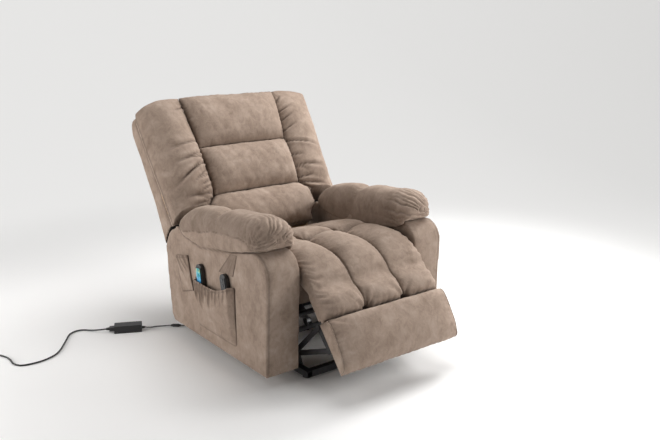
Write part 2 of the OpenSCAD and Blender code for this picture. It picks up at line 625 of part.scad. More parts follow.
// ---------------------------------------------------------------- footrest
module footrest_board() color("#8a7767") place()
  plate(-l_foot, 2 * l_foot) polygon([foot_at(0, 0), foot_at(board_len, 0), foot_at(board_len, board_t),
                                      foot_at(0, board_t)]);
module footrest_brackets() color("#26262a") place() both() {
  plate(l_foot, link_t) {
    polygon([foot_at(8, board_t), foot_at(130, board_t), foot_at(130, 0), foot_a + polar(13, -30),
             foot_a + polar(13, 20), foot_b + polar(13, -40), foot_b + polar(13, 60), foot_at(8, 0)]);
    translate(foot_a) circle(13);
    translate(foot_b) circle(13);
  }
  bar_x(l_a2, l_foot + 1, pin_r, foot_a);
  bar_x(l_foot + link_t - 1, l_b2 + link_t, pin_r, foot_b);
}
module leg_link_a1() color("#222224") place() {
  both() {
    plate(l_a1, link_t) difference() {
      union() {
        link2d(leg_a, bend_a, link_w, end_r);
        link2d(bend_a, elbow_a, link_w, end_r);
        link2d(mix(bend_a, elbow_a, 0.4), leg_tube, link_w, end_r + 2);
      }
      hole2d(leg_a);
    }
    bar_x(l_a1 + link_t - 1, l_a2 + link_t, pin_r, elbow_a);
  }
  difference() {
    bar_x(-l_a1 - 1, l_a1 + 1, tube_r, leg_tube);
    bar_x(-l_a1 + 1, l_a1 - 1, tube_r - tube_wall, leg_tube);
  }
  // Lugs with short pins that carry the slider.
  both() {
    plate(slider_w / 2 + 0.6, 5) difference() {
      link2d(leg_tube, leg_end, 22, 12);
      translate(leg_tube) circle(tube_r - 1);
    }
    bar_x(slider_w / 2 - 6, slider_w / 2 + 2, pin_r, leg_end);
  }
}
module leg_link_a2() color("#2a2a2d") place() both() plate(l_a2, link_t) difference() {
  link2d(elbow_a, foot_a, link_w - 2, end_r);
  hole2d(elbow_a);
  hole2d(foot_a, pin_r + 0.12);
}
module leg_link_b1() color("#222224") place() both() {
  plate(l_b1, link_t) difference() {
    link2d(leg_b, elbow_b, link_w, end_r);
    hole2d(leg_b);
  }
  bar_x(l_b2, l_b1 + 1, pin_r, elbow_b);
}
module leg_link_b2() color("#2a2a2d") place() both() plate(l_b2, link_t) difference() {
  link2d(elbow_b, foot_b, link_w - 2, end_r);
  hole2d(elbow_b);
  hole2d(foot_b, pin_r + 0.12);
}

// ---------------------------------------------------------------- drives
// Local frame of a drive: X along it from its eye, Z across the chair.
module along(from, to, x = 0) {
  d = to - from;
  translate([x, 0, 0]) rotate([90, 0, 90]) translate([from[0], from[1], 0]) rotate([0, 0, atan2(d[1], d[0])])
    children();
}
module eye(back) difference() {
  union() {
    translate([0, 0, -eye_w / 2]) cylinder(r = eye_r, h = eye_w);
    translate([min(0, back), -eye_r * 0.7, -eye_w / 2]) cube([abs(back), eye_r * 1.4, eye_w]);
  }
  translate([0, 0, -eye_w]) cylinder(r = pin_r + pin_clear, h = 2 * eye_w);
}
// Motor, gearbox and guide tube of a push rod drive; m is the side that the motor hangs on.
module drive_case(tube_end, m) {
  eye(19);
  difference() {
    union() {
      translate([17, m > 0 ? -17 : -23, -22]) cube([gear_len - 17, 40, 44]);
      rotate([0, 90, 0]) translate([0, 0, gear_len - 1]) cylinder(r = drive_tube_r, h = tube_end - gear_len + 1);
      rotate([0, 90, 0]) translate([0, 0, tube_end - 14]) cylinder(r = drive_tube_r + 2.5, h = 14);
      translate([22, m * (motor_r + 21), 0]) rotate([0, 90, 0]) cylinder(r = motor_r, h = motor_len);
      translate([22, min(0, m * (motor_r + 21)), -15]) cube([gear_len - 22, motor_r + 21, 30]);
      translate([22 + motor_len - 1, m * (motor_r + 21), 0]) rotate([0, 90, 0])
        cylinder(r1 = motor_r - 2, r2 = motor_r - 7, h = 6);
    }
    rotate([0, 90, 0]) translate([0, 0, gear_len - 2]) cylinder(r = rod_r + 4, h = tube_end);
  }
}
module drive_rod(len) {
  eye(-20);
  translate([-len, 0, 0]) rotate([0, 90, 0]) cylinder(r = rod_r, h = len - 19);
}
module lift_drive_case() color("#2e2e31") place()
  along(lift_eye, lift_end, lift_drive_x) drive_case(lift_len - 30, 1);
module lift_drive_rod() color("#b9bcc0") place()
  along(lift_end, lift_end * 2 - lift_eye, lift_drive_x) drive_rod(lift_len - gear_len - 12);
module back_drive_case() color("#2e2e31") place()
  along(back_eye, back_end, back_drive_x) drive_case(back_len_min - 24, -1);
module back_drive_rod() color("#b9bcc0") place()
  along(back_end, back_end * 2 - back_eye, back_drive_x) drive_rod(back_len_min - gear_len - 2);
// The footrest's drive has a straight track, and a block that slides along it.
track_w = 16;
track_h = 22;
slider_w = 40;
module leg_drive_case() color("#2e2e31") place() along(leg_eye, leg_end) {
  eye(19);
  translate([17, -22, -22]) cube([gear_len - 17, 44, 44]);
  translate([34, 0, 20]) cylinder(r = motor_r - 2, h = motor_len);
  difference() {
    translate([gear_len - 1, -track_h / 2, -track_w / 2]) cube([leg_len_max + 33 - gear_len, track_h, track_w]);
    for (s = [-1, 1]) translate([gear_len + 8, s * track_h / 2 - 4, -3]) cube([leg_len_max - gear_len + 14, 8, 6]);
  }
  translate([leg_len_max + 31, -track_h / 2 - 2, -track_w / 2 - 2]) cube([5, track_h + 4, track_w + 4]);
}
module leg_drive_slider() color("#d8d6cf") place() along(leg_end, leg_end * 2 - leg_eye) difference() {
  translate([-20, -20, -slider_w / 2]) cube([40, 40, slider_w]);
  translate([-21, -track_h / 2 - 0.3, -track_w / 2 - 0.3]) cube([42, track_h + 0.6, track_w + 0.6]);
  for (s = [-1, 1]) translate([0, 0, s * slider_w / 2 - 7]) cylinder(r = pin_r + pin_clear, h = 14);
}

// ---------------------------------------------------------------- pockets
// A pocket is drawn in the side view on the chair's right side and turned to the left side.
bag_y = [203, 514];
bag_z = recess[0][1] - 6;
// The bag of the large pocket, drawn smaller by the cloth's thickness e.
module bag(e) intersection() {
  translate([0, 0, bag_z]) linear_extrude(242)
    polygon([[-side + e, bag_y[0] + 1.2 * e], [-side, bag_y[0] + 1.2 * e], [-side - pocket_out + e, bag_y[0] + 18 + e / 2],
             [-side - pocket_out + e, bag_y[1] - 18 - e / 2], [-side, bag_y[1] - 1.2 * e],
             [-side + e, bag_y[1] - 1.2 * e]]);
  translate([0, bag_y[1] + 1, 0]) rotate([90, 0, 0]) linear_extrude(400)
    polygon([[-side + e, bag_z + 1.3 * e], [-side, bag_z + 1.3 * e], [-side - pocket_out, bag_z + 24 + 1.3 * e],
             [-side - pocket_out, 400], [-side + e, 400]]);
}
module pocket_large() color("#8a7767") place() difference() {
  bag(0);
  bag(cloth);
  translate([-side - 40, 372, 596]) rotate([0, 90, 0]) cylinder(r = 300, h = 50, $fn = 96);
}
module pocket_slim() color("#8a7767") place() {
  o = slim_out;
  difference() {
    plate(-side - o, o) polygon([[574, 369], [667, 348], [629, 201], [541, 231]]);
    plate(-side - o + cloth, o) polygon([[574 + 1, 380], [667 - cloth, 360], [629 - cloth, 201 + cloth + 2],
                                         [541 + cloth, 231 + cloth]]);
  }
}
// Triangular pleat of cloth above the large pocket.
flap_t = 1.6;
module pocket_flap() color("#8a7767") place() {
  plate(-side - flap_t, flap_t) polygon([[186, 466], [206, 466], [327, 372], [300, 340], [236, 338]]);
  plate(-side - 5, 5) polygon([[186, 466], [204, 466], [236, 442], [236, 430]]);
}

// ---------------------------------------------------------------- handsets
// Local frame of a handset: origin at its top end on its middle line, Y' up, X' to the rear.
module in_hand(top, lean) translate([-side - flap_t - clear, top[0], top[1]]) rotate([0, -90, 0])
  rotate([0, 0, lean]) children();
hand_a_top = [456, 369];
hand_b_top = [269, 378];
hand_a_lean = 8;
hand_b_lean = 12;
// A handset's case as a plate with round ends, with a raised face that holds the keys.
module hand_case(len) difference() {
  union() {
    translate([-len + hand_w / 2, -hand_w / 2, 0]) cube([len - hand_w, hand_w, hand_t - 3]);
    for (x = [-hand_w / 2, -len + hand_w / 2]) translate([x, 0, 0]) cylinder(r = hand_w / 2, h = hand_t - 3);
    translate([-len * 0.62, -hand_w / 2 + 5, hand_t - 3.5]) cube([len * 0.62 - hand_w * 0.3, hand_w - 10, 3.5]);
  }
  for (x = key_xs) translate([x, 0, hand_t - 5 - key_travel]) cylinder(r = key_r + 0.3, h = 6 + key_travel);
}
key_xs = [-22, -44];
module hand_key() {
  translate([0, 0, hand_t - 4.9]) cylinder(r = key_r, h = 4.9 + key_travel - 0.3);
  translate([0, 0, hand_t + key_travel - 0.4]) cylinder(r1 = key_r, r2 = key_r - 1.5, h = 1);
}
module handset_a() color("#17181a") place() in_hand(hand_a_top, hand_a_lean) hand_case(hand_a_len);
module handset_b() color("#17181a") place() in_hand(hand_b_top, hand_b_lean) hand_case(hand_b_len);
module handset_a_key_up() color("#2b8fa3") place() in_hand(hand_a_top, hand_a_lean) translate([key_xs[0], 0, 0]) hand_key();
module handset_a_key_down() color("#2b8fa3") place() in_hand(hand_a_top, hand_a_lean) translate([key_xs[1], 0, 0]) hand_key();
module handset_b_key_up() color("#3c3f44") place() in_hand(hand_b_top, hand_b_lean) translate([key_xs[0], 0, 0]) hand_key();
module handset_b_key_down() color("#3c3f44") place() in_hand(hand_b_top, hand_b_lean) translate([key_xs[1], 0, 0]) hand_key();

// ---------------------------------------------------------------- power supply and leads
function spline(p, i, t) = let (n = len(p), a = p[max(0, i - 1)], b = p[i], c = p[i + 1], d = p[min(n - 1, i + 2)])
  0.5 * ((2 * b) + (c - a) * t + (2 * a - 5 * b + 4 * c - d) * t * t + (3 * b - a - 3 * c + d) * t * t * t);
function route(p, step) = concat([for (i = [0 : len(p) - 2]) let (m = max(1, round(norm(p[i + 1] - p[i]) / step)))
  each [for (k = [0 : m - 1]) spline(p, i, k / m)]], [p[len(p) - 1]]);
function unit(v) = v / norm(v);
// A round lead swept along points that lie mostly flat; t0 and t1 are its end directions.
module sweep(pts, r, n, t0, t1) {
  m = len(pts);
  dir = [for (i = [0 : m - 1]) i == 0 ? unit(t0) : i == m - 1 ? unit(t1) : unit(pts[i + 1] - pts[i - 1])];
  loft([for (i = [0 : m - 1]) let (s = unit(cross(dir[i], [0, 0, 1])), w = cross(s, dir[i]))
    [for (k = [0 : n - 1]) pts[i] + r * (s * cos(-360 * k / n) + w * sin(-360 * k / n))]]);
}
adapter_at = [-599, 830];
adapter_turn = -26.1;
function at_adapter(p) = [adapter_at[0] + p[0] * cos(adapter_turn) - p[1] * sin(adapter_turn),
                          adapter_at[1] + p[0] * sin(adapter_turn) + p[1] * cos(adapter_turn), p[2]];
module in_adapter() translate([adapter_at[0], adapter_at[1], 0]) rotate([0, 0, adapter_turn]) children();
module power_adapter() color("#1a1a1c") place() in_adapter() difference() {
  union() {
    translate([-adapter_len / 2, -adapter_w / 2, 1.5]) cube([adapter_len, adapter_w, adapter_h - 3]);
    translate([-adapter_len / 2 + 1.5, -adapter_w / 2 + 1.5, 0]) cube([adapter_len - 3, adapter_w - 3, adapter_h]);
    translate([adapter_len / 2, 0, 12]) rotate([0, 90, 0]) cylinder(r1 = 6, r2 = 4, h = 14);
  }
  translate([-adapter_len / 2 - 1, -12.4, adapter_h / 2 - 8.4]) cube([17, 24.8, 16.8]);
}
module mains_connector() color("#1a1a1c") place() in_adapter() {
  translate([-adapter_len / 2 - 20, -12, adapter_h / 2 - 8]) cube([35.6, 24, 16]);
  translate([-adapter_len / 2 - 34, 0, adapter_h / 2]) rotate([0, 90, 0]) cylinder(r1 = 5, r2 = 7.5, h = 15);
}
lead_z = lead_r + 0.3;
mains_start = at_adapter([-adapter_len / 2 - 34, 0, adapter_h / 2]);
mains_dir = at_adapter([-1, 0, 0]) - at_adapter([0, 0, 0]);
coil_c = [-1192, 1010];
coil_r = 46;
coil_pitch = 2 * lead_r + 1.1;
coil_turns = 1.5;
coil_a0 = -20;
coil_climb = 2 * lead_r + 1.3;
coil_dir0 = [sin(coil_a0), -cos(coil_a0), 0];
coil_start = [coil_c[0] + coil_r * cos(coil_a0), coil_c[1] + coil_r * sin(coil_a0), lead_z];
mains_pts = [mains_start, mains_start + 14 * mains_dir + [0, 0, -1], [-716, 902, 9], [-736, 930, 4.5],
  [-752, 950, lead_z], [-780, 958, lead_z], [-815, 942, lead_z], [-845, 898, lead_z], [-876, 849, lead_z],
  [-905, 806, lead_z], [-942, 768, lead_z], [-995, 746, lead_z], [-1045, 744, lead_z], [-1082, 756, lead_z],
  [-1098, 792, lead_z], [-1096, 830, lead_z], [-1102, 870, lead_z], [-1118, 905, lead_z],
  coil_start + coil_dir0 * 22, coil_start + coil_dir0 * 2 * lead_r];
module mains_lead() color("#1a1a1c") place()
  sweep(route(mains_pts, 16), lead_r, 8, mains_dir, -coil_dir0);
// The spare length lies as a coil of two layers, which spirals in below and out above.
coil_n = 24;
function coil_pt(k) = let (t = k / coil_n, half = coil_turns + 0.25, full = 2 * half,
    r = coil_r - coil_pitch * (t < half ? t : full - t),
    z = lead_z + coil_climb * min(1, max(0, (t - half + 0.25) / 0.5)))
  [coil_c[0] + r * cos(coil_a0 + 360 * t), coil_c[1] + r * sin(coil_a0 + 360 * t), z];
coil_last = round((2 * coil_turns + 0.5) * coil_n);
coil_mid = [for (k = [0 : coil_last]) coil_pt(k)];
coil_out_dir = unit(coil_mid[coil_last] - coil_mid[coil_last - 1]);
coil_end = coil_mid[coil_last] + coil_out_dir * 2 * lead_r;
coil_pts = concat([coil_start + coil_dir0 * 2 * lead_r], coil_mid, [coil_end]);
module mains_coil() color("#1a1a1c") place()
  sweep(coil_pts, lead_r, 6, -coil_dir0, coil_out_dir);
coil_gap = min([for (i = [0 : coil_last], j = [i + 8 : 1 : coil_last]) norm(coil_mid[i] - coil_mid[j])]) - 2 * lead_r;
echo(coil_gap = coil_gap);
module mains_plug() color("#1a1a1c") place()
  translate(coil_end) rotate([0, 0, atan2(coil_out_dir[1], coil_out_dir[0])]) {
    rotate([0, 90, 0]) cylinder(r1 = lead_r + 0.8, r2 = 6.5, h = 18);
    translate([17.5, -13, -9]) cube([32, 26, 18]);
    for (y = [-6.35, 6.35]) translate([49, y - 0.8, -3.2]) cube([17.5, 1.6, 6.4]);
    translate([49, 0, 0]) rotate([0, 90, 0]) cylinder(r = 2.4, h = 18);
  }
dc_z = dc_r + 0.3;
dc_start = at_adapter([adapter_len / 2 + 14, 0, 12]);
dc_in = [-432, 759, 7];
dc_out = [-397, 732, 7];
dc_dir = unit(dc_out - dc_in);
dc_pts = [dc_start, dc_start - 10 * mains_dir + [0, 0, -2], [-506, 799, 4], [-483, 797, dc_z], [-458, 779, 4.5], dc_in - 8 * dc_dir, dc_in];
module dc_lead() color("#1a1a1c") place() sweep(route(dc_pts, 10), dc_r, 8, -mains_dir, dc_dir);
module dc_connector() color("#1a1a1c") place() translate(dc_in)
  rotate([0, 0, atan2(dc_dir[1], dc_dir[0])]) rotate([0, 90, 0]) {
    cylinder(r1 = 3.5, r2 = 6, h = 9);
    translate([0, 0, 9]) cylinder(r = 6.6, h = norm(dc_out - dc_in) - 18);
    translate([0, 0, norm(dc_out - dc_in) - 9]) cylinder(r1 = 6, r2 = 3.5, h = 9);
  }
gland_y = base_len - 80;
gland_z = glide_h + base_tube / 2;
gland_x = rail_x + base_tube;
dc_end = [-gland_x - 9, gland_y, gland_z];
dc_tail_pts = [dc_out, dc_out + 10 * dc_dir + [0, 0, -1], [-362, 708, 4.5], [-340, 676, dc_z], [-326, 640, dc_z],
  [-316, 600, dc_z], [-306, 574, 9], dc_end - [14, 0, 0] + [0, 2, -1], dc_end];
module dc_tail() color("#1a1a1c") place() sweep(route(dc_tail_pts, 12), dc_r, 8, dc_dir, [1, 0, 0]);
module cord_gland() color("#1a1a1c") place() translate([-gland_x, gland_y, gland_z]) rotate([0, -90, 0]) {
  cylinder(r = 8.5, h = 4, $fn = 6);
  translate([0, 0, 3.5]) cylinder(r1 = 6, r2 = 4, h = 5.5);
}

base_rails();
base_crossbars();
base_glides();
cord_gland();
power_adapter();
mains_connector();
mains_lead();
mains_coil();
mains_plug();
dc_lead();
dc_connector();
dc_tail();
lift_main_links();
lift_upper_links();
side_plates();
cross_tubes();
seat_box();
seat_straps();
seat_cushion();
seat_front_cover();
rear_panel();
arm_brackets();
arm_frame_left();
arm_frame_right();
arm_shell_left();
arm_shell_right();
arm_cushion_left();
arm_cushion_right();
pocket_large();
pocket_slim();
pocket_flap();
lift_drive_case();
lift_drive_rod();
footrest_brackets();
footrest_board();
footrest_roll();
leg_pad();
leg_link_a1();
leg_link_a2();
leg_link_b1();
leg_link_b2();
leg_drive_case();
leg_drive_slider();
back_frame();
back_brackets();
back_cover();
wing_left();
wing_right();
pillow_head();
pillow_middle();
pillow_lumbar();
back_drive_case();
back_drive_rod();
handset_a();
handset_a_key_up();
handset_a_key_down();
handset_b();
handset_b_key_up();
handset_b_key_down();
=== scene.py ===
"""Looks of a lift recliner chair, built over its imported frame.

Shapes are written in millimetres, x across the chair, y rearwards from the front of the
arms and z up from the floor, and become metres when a piece is finished.
"""

from __future__ import annotations

import logging
import math
import sys
from dataclasses import dataclass, field
from enum import Enum
from typing import Callable, Iterable, Sequence

import bmesh
import bpy
from bmesh.types import BMesh
from mathutils import Matrix, Vector, noise
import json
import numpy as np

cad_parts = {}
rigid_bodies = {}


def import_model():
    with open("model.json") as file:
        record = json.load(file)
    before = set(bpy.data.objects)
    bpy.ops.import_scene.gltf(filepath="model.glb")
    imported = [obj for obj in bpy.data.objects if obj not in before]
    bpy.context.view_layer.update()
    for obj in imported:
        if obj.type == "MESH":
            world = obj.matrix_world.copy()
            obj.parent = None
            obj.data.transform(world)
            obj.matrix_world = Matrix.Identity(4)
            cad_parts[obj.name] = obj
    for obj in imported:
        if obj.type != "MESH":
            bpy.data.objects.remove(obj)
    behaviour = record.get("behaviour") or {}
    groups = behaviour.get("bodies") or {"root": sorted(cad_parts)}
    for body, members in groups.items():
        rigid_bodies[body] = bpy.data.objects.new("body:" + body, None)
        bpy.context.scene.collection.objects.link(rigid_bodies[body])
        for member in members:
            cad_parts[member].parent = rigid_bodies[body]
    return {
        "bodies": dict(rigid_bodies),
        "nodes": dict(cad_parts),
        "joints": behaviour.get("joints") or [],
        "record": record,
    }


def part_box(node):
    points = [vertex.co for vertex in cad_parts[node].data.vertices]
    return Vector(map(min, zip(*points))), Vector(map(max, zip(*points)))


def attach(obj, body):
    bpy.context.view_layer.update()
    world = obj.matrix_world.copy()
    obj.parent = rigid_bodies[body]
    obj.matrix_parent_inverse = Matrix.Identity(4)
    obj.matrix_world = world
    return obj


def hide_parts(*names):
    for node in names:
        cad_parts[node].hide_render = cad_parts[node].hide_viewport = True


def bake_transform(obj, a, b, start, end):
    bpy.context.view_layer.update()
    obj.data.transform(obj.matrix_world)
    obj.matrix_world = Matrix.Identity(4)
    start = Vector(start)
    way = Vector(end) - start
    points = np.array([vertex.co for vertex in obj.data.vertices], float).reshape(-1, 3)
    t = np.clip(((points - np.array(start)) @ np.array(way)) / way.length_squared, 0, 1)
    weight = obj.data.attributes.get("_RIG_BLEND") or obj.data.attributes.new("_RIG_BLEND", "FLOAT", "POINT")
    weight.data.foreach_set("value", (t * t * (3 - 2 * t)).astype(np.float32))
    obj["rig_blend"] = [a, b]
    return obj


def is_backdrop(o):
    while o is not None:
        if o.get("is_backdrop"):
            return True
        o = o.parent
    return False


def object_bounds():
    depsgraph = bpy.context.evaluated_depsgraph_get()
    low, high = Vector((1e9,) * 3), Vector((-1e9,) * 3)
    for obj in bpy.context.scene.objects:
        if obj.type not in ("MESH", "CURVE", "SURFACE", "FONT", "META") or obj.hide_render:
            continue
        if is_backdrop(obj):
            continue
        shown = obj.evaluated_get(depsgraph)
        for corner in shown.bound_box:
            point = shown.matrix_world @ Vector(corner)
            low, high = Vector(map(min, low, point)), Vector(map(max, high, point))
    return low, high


LOG = logging.getLogger("recliner")
MID_Y = 376.509
TO_METRES = Matrix.Scale(0.001, 4) @ Matrix.Translation((0, -MID_Y, 0))
Pair = tuple[float, float]
Relief = Callable[[Vector, Vector, float, float], Pair]
Station = tuple[Vector, float, float]
Table = tuple[tuple[float, ...], ...]
Point = tuple[float, float, float]
Colour = tuple[float, float, float]
Spot = Callable[[float, float], Point]


class Side(Enum):
    """The side of the chair that a piece is on, as the sign of x."""

    LEFT = -1
    RIGHT = 1

    @property
    def word(self) -> str:
        """The side's word in the names of nodes."""
        return self.name.lower()


# ------------------------------------------------------------------ plain maths
def at(x: float, y: float, z: float) -> Vector:
    """A point of the shapes' frame, in metres in the part's frame."""
    return TO_METRES @ Vector((x, y, z))


def mix(a: float, b: float, t: float) -> float:
    """The value a share t of the way from a to b."""
    return a + (b - a) * t


def step(low: float, high: float, x: float) -> float:
    """A smooth rise from 0 at low to 1 at high."""
    t = min(1.0, max(0.0, (x - low) / (high - low)))
    return t * t * (3 - 2 * t)


def bell(x: float, width: float = 1.0) -> float:
    """A smooth hump, 1 at 0 and gone some three widths away."""
    return math.exp(-(x / width) ** 2)


def fade(x: float, length: float) -> float:
    """1 at 0, and less by a factor e with each length away from it."""
    return math.exp(-abs(x) / length)


def lookup(x: float, table: Sequence[Pair]) -> float:
    """The value at x on straight lines through a table of points."""
    if x <= table[0][0]:
        return table[0][1]
    for (x0, y0), (x1, y1) in zip(table, table[1:]):
        if x <= x1:
            return mix(y0, y1, (x - x0) / (x1 - x0))
    return table[-1][1]


def polar(r: float, degrees: float) -> Pair:
    """The two parts of a length r at an angle."""
    a = math.radians(degrees)
    return r * math.cos(a), r * math.sin(a)


def arc(centre: Sequence[float], r: float, a0: float, a1: float, n: int) -> list[Pair]:
    """Points along an arc from angle a0 to a1, in n steps."""
    out = []
    for k in range(n + 1):
        p = polar(r, mix(a0, a1, k / n))
        out.append((centre[0] + p[0], centre[1] + p[1]))
    return out


def bend(a: Sequence[float], b: Sequence[float], c: Sequence[float], d: Sequence[float], t: float) -> list[float]:
    """The point a share t of the way from b to c on the smooth curve a, b, c, d."""
    return [0.5 * (2 * q + (r - p) * t + (2 * p - 5 * q + 4 * r - s) * t * t + (3 * q - p - 3 * r + s) * t ** 3)
            for p, q, r, s in zip(a, b, c, d)]


def smooth_line(points: Sequence[Sequence[float]], count: int, closed: bool = False,
                fine: int = 12) -> list[list[float]]:
    """Evenly spaced points along a smooth curve. A point given twice makes a corner.

    Args:
        points: the points that the curve passes.
        count: how many points come back.
        closed: whether the curve runs back to its start.
        fine: inner steps for each stretch of the curve.

    Returns:
        The points, without the start again at the end of a closed curve.
    """
    n = len(points)
    spans = n if closed else n - 1
    line: list[list[float]] = []
    for i in range(spans):
        pick = (lambda k: points[k % n]) if closed else (lambda k: points[min(n - 1, max(0, k))])
        if points[i] == points[(i + 1) % n]:
            continue
        line += [bend(pick(i - 1), pick(i), pick(i + 1), pick(i + 2), k / fine) for k in range(fine)]
    line.append(list(points[0] if closed else points[-1]))
    length = [0.0]
    for p, q in zip(line, line[1:]):
        length.append(length[-1] + math.dist(p, q))
    out, i = [], 0
    for k in range(count):
        s = length[-1] * k / (count if closed else count - 1)
        while i < len(line) - 2 and length[i + 1] < s:
            i += 1
        t = (s - length[i]) / max(1e-9, length[i + 1] - length[i])
        out.append([mix(a, b, min(1.0, t)) for a, b in zip(line[i], line[i + 1])])
    return out


# ------------------------------------------------------------------ cloth relief
def lumps(p: Vector, size: float, seed: float = 0.0) -> float:
    """Soft noise from -1 to 1 with features of that size."""
    return noise.noise(Vector((p.x / size + seed, p.y / size - seed, p.z / size + 2 * seed)))


def gather(s: float, pitch: float, seed: float) -> float:
    """Rounded ridges with narrow valleys between them, from -1 to 1, along s."""
    wander = 0.9 * noise.noise(Vector((s / pitch * 0.45, seed, 0)))
    weight = 0.7 + 0.6 * noise.noise(Vector((seed, s / pitch * 0.7, 3)))
    return (2 * abs(math.sin(math.pi * (s / pitch + wander))) ** 0.8 - 1.1) * weight


def seam(d: float, width: float, depth: float) -> Pair:
    """Drop of a sewn seam at a distance from it, and the painted shade that darkens its valley."""
    k = fade(d, width)
    return -depth * k, bell(d, 0.55 * width)


@dataclass(frozen=True)
class Crease:
    """A fold line between two points of a piece's own map."""

    start: Pair
    end: Pair
    depth: float = 4.0
    width: float = 5.0

    def fall(self, a: float, b: float) -> Pair:
        """Offset and painted shade at a point of the map, deepest near the start: painted shade in the fold and painted
        highlight (below 0) on the ridges beside it.
        """
        ux, uy = self.end[0] - self.start[0], self.end[1] - self.start[1]
        size = ux * ux + uy * uy
        t = ((a - self.start[0]) * ux + (b - self.start[1]) * uy) / size
        if not -0.15 < t < 1.15:
            return 0.0, 0.0
        d = ((a - self.start[0]) * uy - (b - self.start[1]) * ux) / math.sqrt(size)
        if abs(d) > 5 * self.width:
            return 0.0, 0.0
        w = self.width * (0.7 + 0.6 * max(0.0, t))
        hold = step(-0.15, 0.08, t) * (1 - step(0.45, 1.15, t))
        cut = bell(d, w)
        rise = bell(d - 2.0 * w, 1.3 * w) + 0.6 * bell(d + 2.0 * w, 1.3 * w)
        # The second value is painted shade in the fold and painted highlight on its ridges.
        return self.depth * hold * (0.55 * rise - cut), hold * (0.95 * cut ** 2 - 0.3 * min(1.0, rise))


def creases(*rows: tuple[float, float, float, float, float, float]) -> list[Crease]:
    """Creases from rows of start, end, depth and width."""
    return [Crease((a, b), (c, d), depth, width) for a, b, c, d, depth, width in rows]


def fold(a: float, b: float, lines: Iterable[Crease]) -> Pair:
    """The sum of several creases at one point of the map."""
    d = k = 0.0
    for line in lines:
        x, y = line.fall(a, b)
        d += x
        k = y if abs(y) > abs(k) else k
    return d, k


def fan(a: float, b: float, centre: Pair, count: float, reach: float, seed: float) -> float:
    """Gathers that run out from a point of the map, from -1 to 1 and fading with distance."""
    x, y = a - centre[0], b - centre[1]
    r = math.hypot(x, y)
    return gather(math.atan2(y, x), 2 * math.pi / count, seed) * math.exp(-(r / reach) ** 1.6) * step(2, 22, r)


# ------------------------------------------------------------------ meshes
def skin(rings: Sequence[Sequence[Station]], closed: bool = True) -> BMesh:
    """A grid laid through rings of points, with the ends of closed rings filled.

    Args:
        rings: rings of the same number of stations, each a point and its place on the map.
        closed: whether each ring runs back to its start.

    Returns:
        The mesh in millimetres, with the map in the layers "along" and "across".
    """
    rows, cols = len(rings), len(rings[0])
    wide = cols if closed else cols - 1
    bm = bmesh.new()
    along, across = bm.verts.layers.float.new("along"), bm.verts.layers.float.new("across")
    # The seam layer holds painted shade, and painted highlight below 0, for the suede to show.
    bm.verts.layers.float.new("seam")
    bmesh.ops.create_grid(bm, x_segments=wide, y_segments=rows - 1, size=0.5)
    for v in bm.verts:
        i, j = round((v.co.y + 0.5) * (rows - 1)), round((v.co.x + 0.5) * wide)
        v.co, v[along], v[across] = rings[i][j % cols]
    if closed:
        bmesh.ops.remove_doubles(bm, verts=bm.verts[:], dist=0.02)
        edges = [e for e in bm.edges if e.is_boundary]
        faces = bmesh.ops.holes_fill(bm, edges=edges, sides=0)["faces"]
        bmesh.ops.triangulate(bm, faces=faces)
    bmesh.ops.recalc_face_normals(bm, faces=bm.faces[:])
    return bm


def slab(outline: Sequence[Pair], x0: float, x1: float, radius: Callable[[Vector, Vector], float],
         voxel: float) -> BMesh:
    """A body with a side view's outline and rounded edges, remeshed evenly for shaping.

    Args:
        outline: the [y, z] points of the side view.
        x0: one side face.
        x1: the other side face.
        radius: the rounding of an edge of the side faces, from its two ends.
        voxel: the size of the new faces.

    Returns:
        The mesh in millimetres.
    """
    bm = bmesh.new()
    face = bmesh.ops.contextual_create(bm, geom=[bm.verts.new((x0, y, z)) for y, z in outline])["faces"]
    out = bmesh.ops.extrude_face_region(bm, geom=face)["geom"]
    bmesh.ops.translate(bm, verts=points_of(out), vec=(x1 - x0, 0, 0))
    bmesh.ops.recalc_face_normals(bm, faces=bm.faces[:])
    rims: dict[float, list[bmesh.types.BMEdge]] = {}
    for e in bm.edges:
        if abs(e.verts[0].co.x - e.verts[1].co.x) < 1:
            rims.setdefault(radius(e.verts[0].co, e.verts[1].co), []).append(e)
    for r in sorted(rims, reverse=True):
        edges = [e for e in rims[r] if e.is_valid]
        bmesh.ops.bevel(bm, geom=edges, offset=r, segments=3 if r < 30 else 8, profile=0.5, affect="EDGES",
                        material=-1, clamp_overlap=True)
    return remesh(bm, voxel)


def put(name: str, data: bpy.types.ID) -> bpy.types.Object:
    """An object with that data, in the scene."""
    obj = bpy.data.objects.new(name, data)
    bpy.context.scene.collection.objects.link(obj)
    return obj


def settle(bm: BMesh, name: str, material: bpy.types.Material) -> bpy.types.Object:
    """A smooth object made of a finished mesh, which is freed."""
    mesh = bpy.data.meshes.new(name)
    bm.to_mesh(mesh)
    bm.free()
    mesh.shade_smooth()
    mesh.materials.append(material)
    return put(name, mesh)


def points_of(geom: Iterable) -> list[bmesh.types.BMVert]:
    """The vertices among what an operator gives back."""
    return [g for g in geom if isinstance(g, bmesh.types.BMVert)]


def to_left(bm: BMesh) -> None:
    """Turns a piece of the right side into one of the left."""
    bmesh.ops.scale(bm, vec=(-1, 1, 1), verts=bm.verts[:])
    bmesh.ops.reverse_faces(bm, faces=bm.faces[:])


def paced(line: Sequence[Sequence[float]]) -> list[Point]:
    """The points of a flat line, each with the length of line up to it."""
    out, s = [], 0.0
    for i, (a, b) in enumerate(line):
        s += math.dist(line[i - 1], line[i]) if i else 0.0
        out.append((a, b, s))
    return out


